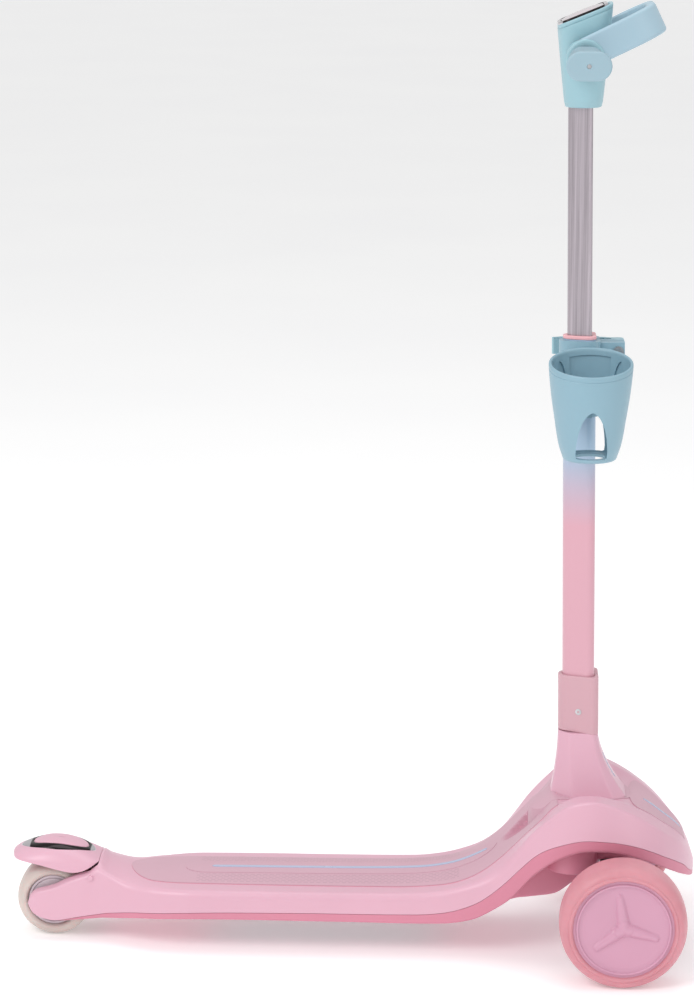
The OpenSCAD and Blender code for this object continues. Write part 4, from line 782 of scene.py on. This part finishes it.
sleeve("lowerTube", lowerOutline(), lowerOutline(-stemShape["lowerWall"]), stemShape["lowerFrom"],
       stemShape["lowerTop"], "frame", "tube_paint", ["lower_tube"], "stem", 0.3, 24)
sleeve("upperTube", upperOutline(), upperOutline(-stemShape["upperWall"]), stemShape["upperFrom"],
       stemShape["upperTop"], "mast", "alloy", ["upper_tube"], "alloy", 0.2, 24)
bushFrom = stemShape["lowerTop"] + 0.1
sleeve("tubeBushing", lowerOutline(0.5), upperOutline(0.05), bushFrom, bushFrom + stemShape["bushHigh"],
       "frame", "bush_pink", ["tube_bushing"], "bush", 0.8)

collarShape = {"dip": 2.2, "edge": 1.0, "inner": 0.79}


def collarEnd(u, v, z, dip):        # the ends of the collar sag a little at its front corners
    return onStem(u, v, z - dip * ease((u + 8) / 26))


def collarRings():
    low, dip = stemShape["collarFrom"], collarShape["dip"]
    high, out = low + stemShape["collarHigh"], stemOutline(38.5, 40, 6, 13, 0)
    inner = [(u * collarShape["inner"], v * collarShape["inner"]) for u, v in out]
    return ([[collarEnd(u, v, mix(low, high, i / 8), dip * (1 - i / 8)) for u, v in out] for i in range(9)]
            + [[collarEnd(u, v, mix(high, low, i / 2), dip * i / 2) for u, v in inner] for i in range(3)])


collar = piece("collar", *loopedSolid(collarRings()), "frame", "body_pink", ["collar"], "collar")
edgeWork(collar, collarShape["edge"] * mm, 4)
print("neck and stem ready")


sides = ((-1, "right"), (1, "left"))
frontWheel = {"x": 259.6, "y": 122.7, "z": 60, "steps": 160}
frontTyreLine = [(47.1, 20.2), (48.1, 22.0), (49.3, 22.8), (50.4, 22.7), (51.1, 22.0), (51.6, 21.5),
                 (52.4, 21.6),
                 (54.0, 21.2), (55.9, 20.0), (57.6, 17.9), (58.8, 15.2), (59.5, 12), (59.85, 8), (60, 4),
                 (60, 0)]
rearTyreLine = [(25.1, 19.5), (25.9, 21.0), (27.2, 21.8), (28.6, 21.9), (30.6, 21.3), (32.8, 19.8),
                (34.7, 17.4),
                (36.0, 14.2), (36.7, 10.2), (36.95, 6), (37, 3), (37, 0)]


def refined(path, n=3):        # Catmull-Rom through the points
    out = []
    for i in range(len(path) - 1):
        a, b, c, d = path[max(i - 1, 0)], path[i], path[i + 1], path[min(i + 2, len(path) - 1)]
        for k in range(n):
            t = k / n
            out.append(tuple(0.5 * (2 * q + (r - p) * t + (2 * p - 5 * q + 4 * r - s) * t * t
                       + (3 * q - p - 3 * r + s) * t ** 3) for p, q, r, s in zip(a, b, c, d)))
    return out + [path[-1]]


def tyreSolid(half, place, steps):
    fine = refined(half)
    profile = fine + [(r, -h) for r, h in reversed(fine[:-1])]
    return revolved(profile, place, steps)


capShape = {"rim": 42.2, "outer": 44.5, "face": 19.4, "sink": 2.6, "back": 14.5, "ridges": (98, 217, 344),
            "ridgeHigh": 4.8, "ridgeRoot": 7.0, "ridgeEnd": 3.6, "ridgeTip": 31, "core": 9}


def capHeight(r, angle):        # shallow dish with three soft tapered ridges that meet in the middle
    c = capShape
    base = c["face"] - c["sink"] * (1 - (r / c["rim"]) ** 2) + 0.5 * ease((r - 38) / 4)
    best = 0.0
    for ridge in c["ridges"]:
        turn = math.radians(angle - ridge)
        forward, aside = r * math.cos(turn), abs(r * math.sin(turn))
        t = max(0.0, min(1.0, forward / c["ridgeTip"]))
        wide = mix(c["ridgeRoot"], c["ridgeEnd"], t)
        off = math.hypot(forward - t * c["ridgeTip"], aside) / wide
        if off < 1:
            best = max(best, c["ridgeHigh"] * (1 - 0.55 * t) * (1 - off ** 2.2) ** 0.8)
    rim = 0.6 * math.exp(-((r - c["core"]) / 0.8) ** 2) * min(1.0, best)
    return base + best - rim


def capSolid(place, steps=216):
    c, rings = capShape, []
    for r in [0.0001, 1.2] + [2.4 + 0.8 * i for i in range(50)]:
        if r < c["rim"]:
            rings.append([place(r, 2 * math.pi * j / steps, capHeight(r, 360 * j / steps))
                          for j in range(steps)])
    top = capHeight(c["rim"], 0)
    for r, h in [(c["rim"], top), (c["rim"] + 0.15, 21.2), (c["rim"] + 0.5, 21.9), (c["rim"] + 1.1, 22.2),
                 (c["outer"] - 0.5, 22.1), (c["outer"] - 0.1, 21.6), (c["outer"], 20.8),
                 (c["outer"], c["back"]), (0.0001, c["back"])]:
        rings.append(circle(place, r, h, steps))
    return ringSolid(rings, False)


for side, name in sides:
    place = aboutY(frontWheel["x"], side * frontWheel["y"], frontWheel["z"], side)
    body = "wheel_" + name[0]
    piece("tyre" + name.title(), *tyreSolid(frontTyreLine, place, frontWheel["steps"]), body, "tyre_salmon",
          ["tyre_" + name], "frontTyre")
    piece("hubCap" + name.title(), *capSolid(place), body, "cap_lilac", ["hub_cap_" + name], "hubCap")
print("front wheels ready")


rearWheel = {"x": -291.4, "z": 37, "steps": 144}
place = aboutY(rearWheel["x"], 0, rearWheel["z"])
piece("rearTyre", *tyreSolid(rearTyreLine, place, rearWheel["steps"]), "rear_wheel", "tyre_cream",
      ["rear_tyre"], "rearTyre")
hubLine = [(6.5, 15), (6.5, 17.2), (7, 17.8), (8.2, 18), (9.5, 18.6), (11, 19.1), (20.6, 19.2),
           (21.1, 19), (21.3, 18.2),
           (21.9, 18.2), (22.1, 19.2), (22.6, 19.7), (24.1, 19.7), (24.7, 19.3), (24.95, 18.4), (24.95, 8),
           (24.95, 0)]
hubProfile = hubLine + [(r, -h) for r, h in reversed(hubLine[:-1])]
rearHub = piece("rearHub", *revolved(hubProfile, place, rearWheel["steps"]), "rear_wheel", "hub_cream",
                ["rear_hub"], "rearHub")
edgeWork(rearHub, 0.15 * mm, 2)
print("rear wheel ready")


brakeShape = {"tip": -332, "wall": 3.2, "edge": 0.6}
brakeTop = [(0, 82.5), (3, 84.5), (8, 87.2), (20, 90.6), (34, 94.0), (48, 94.0), (62, 90.8), (74, 85.6),
            (85.5, 79)]
brakeLow = [(0, 80.5), (3, 78.8), (8, 78.4), (27, 76), (46, 71.6), (60, 69), (70, 70), (78, 73.4),
            (85.5, 77.5)]
brakeHalf = [(0, 6), (1.2, 13), (4, 19), (9, 24), (20, 28.5), (40, 31.5), (60, 32), (74, 30), (80, 27),
             (85.5, 21)]


def domeHeight(d, y):        # outer face of the fender, d mm from its tip
    top, low, half = along(d, brakeTop), along(d, brakeLow), along(d, brakeHalf)
    share = max(0.0, 1 - (min(abs(y), half) / half) ** 2.5)
    return low + (top - low) * share ** 0.56


def brakeRing(d):
    half, low, wall = along(d, brakeHalf), along(d, brakeLow), brakeShape["wall"]
    x = brakeShape["tip"] + d
    spots = [half * math.sin(math.radians(a)) for a in range(-90, 91, 5)]
    outer = [(x, y, domeHeight(d, y)) for y in spots]
    near = max(0.2, 1 - wall / half)
    inner = [(x, y * near, max(low, domeHeight(d, y) - wall) if abs(y) < half * 0.999 else low)
             for y in reversed(spots)]
    return outer + inner


brakeSpots = [0.02, 0.3, 0.8, 1.6, 2.6, 4] + [5.5 + 1.75 * i for i in range(44)] + [82, 83.6, 85, 85.5]
brakeFender = loft("brakeFender", [brakeRing(d) for d in brakeSpots], "brake", "body_pink",
                   ["brake_fender"], "body")
edgeWork(brakeFender, brakeShape["edge"] * mm, 3, 50)
trimShape = {"ringMiddle": 43.8, "ringLong": 36.6, "ringWide": 21.5, "ringPower": 1.8, "padMiddle": 46.5,
             "padLong": 27, "padWide": 14.5, "padPower": 2.4, "high": 0.9, "padHigh": 1.1, "gap": 0.35}


def ovalPoint(angle, middle, long, wide, power):
    c, s = math.cos(angle), math.sin(angle)
    power = 2 / power
    return (middle + long * math.copysign(abs(c) ** power, c), wide * math.copysign(abs(s) ** power, s))


def onDome(d, y, lift):
    return (brakeShape["tip"] + d, y, domeHeight(d, y) + lift)


def trimOval(n, name):
    sizes = [trimShape[name + part] for part in ("Middle", "Long", "Wide", "Power")]
    return [ovalPoint(2 * math.pi * i / n, *sizes) for i in range(n)]


def trimSolid(n=160):
    rings, inner, outer = [], trimOval(n, "pad"), trimOval(n, "ring")
    for share, lift in [(0, -1.5), (0, 0.35), (0.06, 0.75), (0.14, 0.9), (0.3, 1.0), (0.5, 1.0), (0.7, 0.95),
                        (0.86, 0.85), (0.95, 0.6), (1, 0.1), (1, -1.5)]:
        rings.append([onDome(mix(a[0], b[0], share), mix(a[1], b[1], share), lift * trimShape["high"])
                      for a, b in zip(inner, outer)])
    return loopedSolid(rings)


def brakePadSolid(n=160):
    t, rings = trimShape, []
    oval = [ovalPoint(2 * math.pi * i / n, 0, t["padLong"] - t["gap"], t["padWide"] - t["gap"], t["padPower"])
            for i in range(n)]
    for share, lift in [(1, -1.4), (1, 0.3), (0.99, 0.7), (0.965, 0.95), (0.93, 1.05), (0.8, 1.1), (0.6, 1.1),
                        (0.4, 1.1), (0.2, 1.1), (0.0001, 1.1)]:
        rings.append([onDome(t["padMiddle"] + u * share, v * share, lift * t["padHigh"]) for u, v in oval])
    rings.append(circle(lambda r, a, h: onDome(t["padMiddle"] + r * math.cos(a), r * math.sin(a), h),
                        0.0001, -1.4, n))
    return loopedSolid(rings)


piece("brakeTrim", *trimSolid(), "brake", "chrome_trim", ["brake_trim"], "brakeChrome")
piece("brakePad", *brakePadSolid(), "brake", "body_pink", ["brake_pad"], "body")
print("brake ready")


cupShape = {"x": 223.0, "y": -62.15, "z": 490, "high": 91, "wall": 2.9, "tilt": 0.205, "tiltFrom": 30,
            "steps": 144,
            "arches": (-88, 90), "archWide": 29.5, "archLow": 4, "archHigh": 50, "recess": 1.7, "bay": 20.5,
            "bayLow": 52, "bayHigh": 85, "sideWide": 17, "sideAngle": 52}
cupLine = [(22.0, 0), (23.6, 0.5), (24.9, 1.8), (25.6, 4), (27.4, 9), (29.4, 16), (31.4, 27),
           (33.0, 38), (34.9, 50),
           (36.6, 62), (38.0, 75), (38.75, 84), (38.85, 85.4), (38.45, 86),
           (38.9, 86.6), (39.0, 88.5), (38.9, 90.2), (38.2, 91), (37.0, 91), (36.2, 90.2), (35.9, 88.5)]


def cupRadius(z):
    return along(z, [(h, r) for r, h in cupLine[:12]])


def cupPlace(r, a, h):
    x, y = r * math.cos(a), r * math.sin(a)
    lean = cupShape["tilt"] * ease((h - cupShape["tiltFrom"]) / (cupShape["high"] - cupShape["tiltFrom"]))
    return (cupShape["x"] + x, cupShape["y"] + y, cupShape["z"] + h + y * lean)


def archLine(wide, low, high, n=16):        # square foot, sides that close to a round top, as (u, v)
    rise = [1 - (1 - k / n) ** 2 for k in range(1, n + 1)]
    side = [(wide / 2 * (1 - t ** 2.4) ** 0.6, mix(low, high, t)) for t in rise]
    foot = [(-wide / 2 + 2.5, low), (wide / 2 - 2.5, low), (wide / 2 - 0.6, low + 0.8)]
    return foot + side + [(-u, v) for u, v in reversed(side[:-1])] + [(-wide / 2 + 0.6, low + 0.8)]


def archCutter(angle):        # straight through the wall
    c, a = cupShape, math.radians(angle)
    place = lambda u, v, d: (c["x"] + d * math.cos(a) - u * math.sin(a),
                             c["y"] + d * math.sin(a) + u * math.cos(a), c["z"] + v)
    return cutter(*prism(archLine(c["archWide"], c["archLow"], c["archHigh"]), place, 14, 60))


def bayCutter(angle, halfAt, high):        # shallow bay that follows the inside of the wall
    c, rings = cupShape, []
    for k in range(19):
        t = k / 18
        v = mix(c["bayLow"], high, t)
        r, turn = cupRadius(v) - c["wall"], math.radians(angle)
        turns = [turn + halfAt(t) * (j / 6 - 1) / r for j in range(13)]
        rings.append([cupPlace(r - 4, a, v) for a in turns]
                     + [cupPlace(r + c["recess"], a, v) for a in reversed(turns)])
    return cutter(*ringSolid(rings))


innerLine = [(cupRadius(h) - cupShape["wall"], h) for h in (84, 72, 60, 48, 36, 24, 14, 8)]
floorLine = [(23.0, 4.2), (21.5, 3.2), (14.4, 3.0), (14.0, 2.6), (14.0, 0.4), (14.4, 0)]
cupProfile = refined(cupLine, 2) + innerLine + floorLine
cupHolder = piece("cupHolder", *revolved(cupProfile, cupPlace, cupShape["steps"]), "cup", "cup_blue",
                  ["cup_holder"], "cup")
middleHalf = lambda t: mix(cupShape["bay"] - 2, cupShape["bay"], t)
sideHalf = lambda t: max(0.4, cupShape["sideWide"] / 2 * (1 - t ** 2.4) ** 0.6)
windows = [archCutter(a) for a in cupShape["arches"]] + [bayCutter(90, middleHalf, cupShape["bayHigh"])]
for side in (-1, 1):
    windows.append(bayCutter(90 + side * cupShape["sideAngle"], sideHalf, cupShape["bayHigh"] - 1))
cutBy(cupHolder, windows)
edgeWork(cupHolder, 0.5 * mm, 3, 40)
print("cup holder ready")


headShape = {"x": 210.8, "z": 810, "tall": 110, "foot": 17.3, "grow": 10.4, "wide": 31, "tilt": 22,
             "topX": 211.6, "topZ": 895.2, "points": 96, "round": 2.6, "under": 4.4}
barX, barZ = 214.3, 857


def headSection(z, i):
    s = headShape
    t = max(0.0, min(1.1, (z - s["z"]) / s["tall"]))
    a = s["foot"] + s["grow"] * t ** 0.9
    b = s["foot"] + (s["wide"] - s["foot"]) * min(1, t * 1.5) ** 0.8
    p = 2 / (2 + 1.8 * min(1, t * 1.6))
    u = 2 * math.pi * i / s["points"]
    c, n = math.cos(u), math.sin(u)
    return (s["x"] + 3.2 - 0.8 * t + a * math.copysign(abs(c) ** p, c), b * math.copysign(abs(n) ** p, n))


def planeHeight(x):
    return headShape["topZ"] + (x - headShape["topX"]) * math.tan(math.radians(headShape["tilt"]))


def headSolid():
    s = headShape
    rings = []
    for inset, lift in [(6, 0), (2, 0), (0.9, 0.4), (0.25, 1.2), (0, s["round"])]:
        ring = []
        for i in range(s["points"]):
            x, y = headSection(s["z"], i)
            r = math.hypot(x - s["x"], y)
            ring.append((s["x"] + (x - s["x"]) * (1 - inset / r), y * (1 - inset / r), s["z"] + lift))
        rings.append(ring)
    for k in range(1, 31):
        ring = []
        for i in range(s["points"]):
            z = s["z"] + s["tall"] * k / 30
            for _ in range(4):        # each round comes nearer to the tilted top
                x, y = headSection(z, i)
                z = mix(s["z"] + s["round"], planeHeight(x) - s["under"], k / 30)
            ring.append((x, y, z))
        rings.append(ring)
    rim = rings[-1]
    for share, lift in [(0.978, -2.6), (0.978, -2.1), (1, -1.8), (1, 0), (0.997, 0.9), (0.985, 1.4),
                        (0.965, 1.6), (0.90, 1.6), (0.885, 1.4), (0.88, 0.9), (0.88, 0.2), (0.0001, 0.2)]:
        nearer = [(mix(s["topX"], x, share), y * share) for x, y, z in rim]
        rings.append([(x, y, planeHeight(x) - 1.6 + lift) for x, y in nearer])
    verts, faces = ringSolid(rings, False)
    return verts, faces + [tuple(range(s["points"]))]


weighted(piece("headShell", *headSolid(), "mast", "head_blue", ["head_shell"], "head"))


def platePoint(u, v, lift):        # on the tilted top of the head
    t = math.radians(headShape["tilt"])
    return (headShape["topX"] + 0.6 + u * math.cos(t) - lift * math.sin(t), v,
            headShape["topZ"] + u * math.sin(t) + lift * math.cos(t))


def roundedRect(lx, ly, r, n=10):
    x, y = lx / 2 - r, ly / 2 - r
    turns = [(x, y, 0), (-x, y, 90), (-x, -y, 180), (x, -y, 270)]
    return [point for cx, cy, a in turns for point in arcPoints(cx, cy, r, a, a + 90, n)]


def plateRing(lx, ly, r, lift):
    return [platePoint(u, v, lift) for u, v in roundedRect(lx, ly, r)]


bezelShape = {"long": 49.4, "wide": 52.6}
insertShape = {"long": 40.9, "wide": 44.1, "corner": 8.4, "edge": 1.6, "dome": 2.2}
bezelRings = []
for inset, r, lift in [(0, 12, -1), (0, 12, 0.9), (0.8, 11.6, 1.8), (2, 11, 2.1), (6, 9.6, 2.1),
                       (7.2, 9, 1.7), (7.8, 8.7, 0.9), (7.8, 8.7, -1)]:
    bezelRings.append(plateRing(bezelShape["long"] - inset, bezelShape["wide"] - inset, r, lift))
weighted(piece("badgeBezel", *loopedSolid(bezelRings), "mast", "chrome_trim", ["badge_bezel"], "badgeChrome"))
insertRings = []
for share, lift in [(1, -0.6), (1, insertShape["edge"])] + [
        (t, insertShape["edge"] + insertShape["dome"] * (1 - t ** 2.4))
        for t in (0.985, 0.96, 0.92, 0.85, 0.75, 0.6, 0.45, 0.3, 0.15, 0.001)]:
    insertRings.append(plateRing(*[insertShape[k] * share for k in ("long", "wide", "corner")], lift))
weighted(loft("badgeInsert", insertRings, "mast", "badge_white", ["badge_insert"], "badge"))

gripShape = {"from": 56, "to": 142, "long": 32, "tall": 24, "flangeLong": 40.5, "flangeTall": 26,
             "flange": 5.2, "bore": 9.7, "points": 96, "rib": 0.35}


def stadium(lx, lz, i, n):        # point i of n round a level oval with straight sides
    r, h = lz / 2, (lx - lz) / 2
    u = 2 * math.pi * i / n
    c, s = math.cos(u), math.sin(u)
    if abs(c) * r > abs(s) * 1e6:
        return (math.copysign(h + r, c), 0.0)
    t = r / max(abs(s), 1e-9)
    x = c * t
    if abs(x) <= h:
        return (x, math.copysign(r, s))
    b = abs(c) * h
    d = b + math.sqrt(max(0.0, b * b - h * h + r * r))
    return (c * d, s * d)


def gripPlace(side):
    return lambda x, z, y: (barX + x, side * y, barZ + z)


def gripBody(side):
    g, n, place = gripShape, gripShape["points"], gripPlace(side)
    long, tall, neck = g["long"] / 2, g["tall"] / 2, g["to"] - g["flange"]
    sections = [(g["bore"], g["bore"], g["from"]), (long - 2, tall - 2, g["from"]),
                (long - 0.6, tall - 0.6, g["from"] + 0.6), (long, tall, g["from"] + 2)]
    for k in range(1, 41):
        swell = g["rib"] * math.sin(k * math.pi / 2) ** 2 if 3 < k < 37 else 0
        sections.append((long - swell, tall - swell, mix(g["from"] + 2, neck - 1, k / 40)))
    sections.append((long, tall, neck + 0.5))
    return ringSolid([[place(*stadium(2 * a, 2 * b, i, n), y) for i in range(n)] for a, b, y in sections])


def gripFlange(side):
    g, n, place = gripShape, gripShape["points"], gripPlace(side)
    a, b, neck = g["flangeLong"] / 2, g["flangeTall"] / 2, g["to"] - g["flange"]
    sections = [(1.2, neck), (0.3, neck + 0.4), (0, neck + 1.2), (0, g["to"] - 1.6), (0.3, g["to"] - 0.7),
                (1.0, g["to"] - 0.15), (2.0, g["to"])]
    rings = [[place(*stadium(2 * (a - d), 2 * (b - d), i, n), y) for i in range(n)] for d, y in sections]
    for r, y in [(4.2, 0), (3.6, 0.1), (3.1, 0.35), (2.6, 0.35), (2.1, 0.1), (2.0, -0.4), (2.0, -4),
                 (0.0001, -4)]:
        rings.append(circle(lambda r, a, h: place(r * math.cos(a), r * math.sin(a), h), r, g["to"] + y, n))
    verts, faces = ringSolid(rings, False)
    return verts, faces + [tuple(range(n))]


for side, name in sides:
    weighted(piece("grip" + name.title(), *gripBody(side), "mast", "grip_blue", ["grip_" + name], "grip"))
    weighted(piece("gripFlange" + name.title(), *gripFlange(side), "mast", "grip_blue", [], "flange"))

loopShape = {"reach": 78, "half": 45.8, "corner": 31, "band": 28.5, "thick": 9, "raise": 4, "tilt": 25.8,
             "round": 3.4, "bossR": 18, "bossIn": 34, "bossOut": 47, "bossHole": 9.6}


def loopPath():
    s, inset = loopShape, loopShape["thick"] / 2
    w, l, r = s["half"] - inset, s["reach"] - inset, s["corner"] - inset
    bendA = arcPoints(l - r, -w + r, r, -90, 0, 16)
    bendB = arcPoints(l - r, w - r, r, 0, 90, 16)
    straight = [(mix(0, l - r, k / 8), -w) for k in range(8)]
    return (straight + bendA + [(l, mix(-w + r, w - r, k / 6)) for k in range(1, 6)] + bendB
            + [(u, -v) for u, v in reversed(straight)])


def loopSolid():
    s, path = loopShape, loopPath()
    a, b = s["thick"] / 2, s["band"] / 2
    corners = [(-a, -b, 0), (a, -b, 0), (a, b, 0), (-a, b, 0)]
    section = [(p[0], p[1] + s["raise"]) for p in rounded(corners, s["round"], 6)]
    t = math.radians(s["tilt"])
    rings = []
    for i, (u, v) in enumerate(path):
        a, b = path[max(i - 1, 0)], path[min(i + 1, len(path) - 1)]
        du, dv = b[0] - a[0], b[1] - a[1]
        size = math.hypot(du, dv)
        nu, nv = dv / size, -du / size
        rings.append([(barX + (u + nu * p) * math.cos(t) - q * math.sin(t), v + nv * p,
                       barZ + (u + nu * p) * math.sin(t) + q * math.cos(t)) for p, q in section])
    return ringSolid(rings)


def bossSolid(side):
    s = loopShape
    a, b, r = s["bossIn"], s["bossOut"], s["bossR"]
    profile = [(s["bossHole"], a), (r - 1.2, a), (r - 0.3, a + 0.4), (r, a + 1.4), (r, b - 2.4),
               (r - 0.35, b - 1.0), (r - 1.3, b - 0.25), (r - 2.6, b), (s["bossHole"], b)]
    return revolved(profile, aboutY(barX, 0, barZ, side), 96)


weighted(piece("loopHandle", *loopSolid(), "loop", "head_blue", ["loop_handle"], "loop"))
for side in (-1, 1):
    weighted(piece("loopBoss", *bossSolid(side), "loop", "head_blue", [], "head"))
print("head and handles ready")


hardware = {
    "zinc": ["deck_brace", "stem_socket", "crossmember", "frame_screws", "brake_shoe", "tie_rod",
             "wheel_nut_left", "wheel_nut_right", "stem_bolt", "kingpins", "rear_axle", "axle_left",
             "axle_right", "bearings_left", "bearings_right", "rear_bearings", "clamp_bolt", "stem_screws",
             "grip_screws"],
    "spring": ["centring_springs", "brake_spring"],
    "nylon": ["knuckle_left", "knuckle_right", "rear_hub_screws", "tube_guide"],
    "crossAlloy": ["crossbar"],
    "cup": ["clamp_body", "cup_bracket"],
    "head": ["clamp_lever"],
    "hubCap": ["rim_left", "rim_right"],
    "body": ["brake_hinge_pin"],
}
for finish, names in hardware.items():
    for name in names:
        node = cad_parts[name]
        node.data.materials.clear()
        node.data.materials.append(finishes[finish])
        if finish != "spring":
            edgeWork(node, 0.35 * mm, 2)
        smoothed(node.data)
print("hardware ready")


studio = {"floorHalf": 30, "world": 0.68, "glow": 0.2}
lights = {
    "keyLight": {"place": (-1.6, -2.2, 2.6), "aim": (0, 0, 0.3), "size": (1.6, 1.6), "power": 44},
    "fillLight": {"place": (2.4, -1.8, 1.6), "aim": (0, 0, 0.3), "size": (1.6, 2.0), "power": 9},
    "topLight": {"place": (0.2, 0.3, 3.0), "aim": (0, 0, 0), "size": (2.2, 1.6), "power": 20},
}
view = {"lens": 109.55, "sensor": 36, "place": (0.1252, -2.8352, 1.0477), "aim": (-0.0049, 0, 0.4359)}


def paperFloor():
    half = studio["floorHalf"]
    mesh = bpy.data.meshes.new("paperFloor")
    corners = [(-half, -half, 0), (half, -half, 0), (half, half, 0), (-half, half, 0)]
    mesh.from_pydata(corners, [], [(0, 1, 2, 3)])
    obj = bpy.data.objects.new("paperFloor", mesh)
    bpy.context.scene.collection.objects.link(obj)
    mat, tree = blank("studioPaper")
    tone = [(0.3, (0.93, 0.93, 0.935)), (0.7, (0.95, 0.95, 0.95))]
    feed(tree, {"Base Color": ramp(tree, noise(tree, coords(tree), 1.5, 2), tone), "Roughness": 0.9,
                "Specular IOR Level": 0.1, "Emission Color": (1, 1, 1, 1),
                "Emission Strength": studio["glow"]})
    obj.data.materials.append(mat)


def aimed(name, data, place, aim):
    obj = bpy.data.objects.new(name, data)
    obj.location = place
    obj.rotation_euler = (Vector(aim) - Vector(place)).to_track_quat("-Z", "Y").to_euler()
    bpy.context.scene.collection.objects.link(obj)
    return obj


paperFloor()
for name, values in lights.items():
    light = bpy.data.lights.new(name, "AREA")
    light.shape = "RECTANGLE"
    light.size, light.size_y = values["size"]
    light.energy = values["power"]
    aimed(name, light, values["place"], values["aim"])
world = bpy.data.worlds.new("studioAir")
world.use_nodes = True
world.node_tree.nodes["Background"].inputs["Color"].default_value = (1, 1, 1, 1)
world.node_tree.nodes["Background"].inputs["Strength"].default_value = studio["world"]
bpy.context.scene.world = world

camera = bpy.data.cameras.new("camera")
camera.lens = view["lens"]
camera.sensor_width = view["sensor"]
bpy.context.scene.camera = aimed("camera", camera, view["place"], view["aim"])
bpy.context.scene.view_settings.view_transform = "Standard"
print("studio ready")
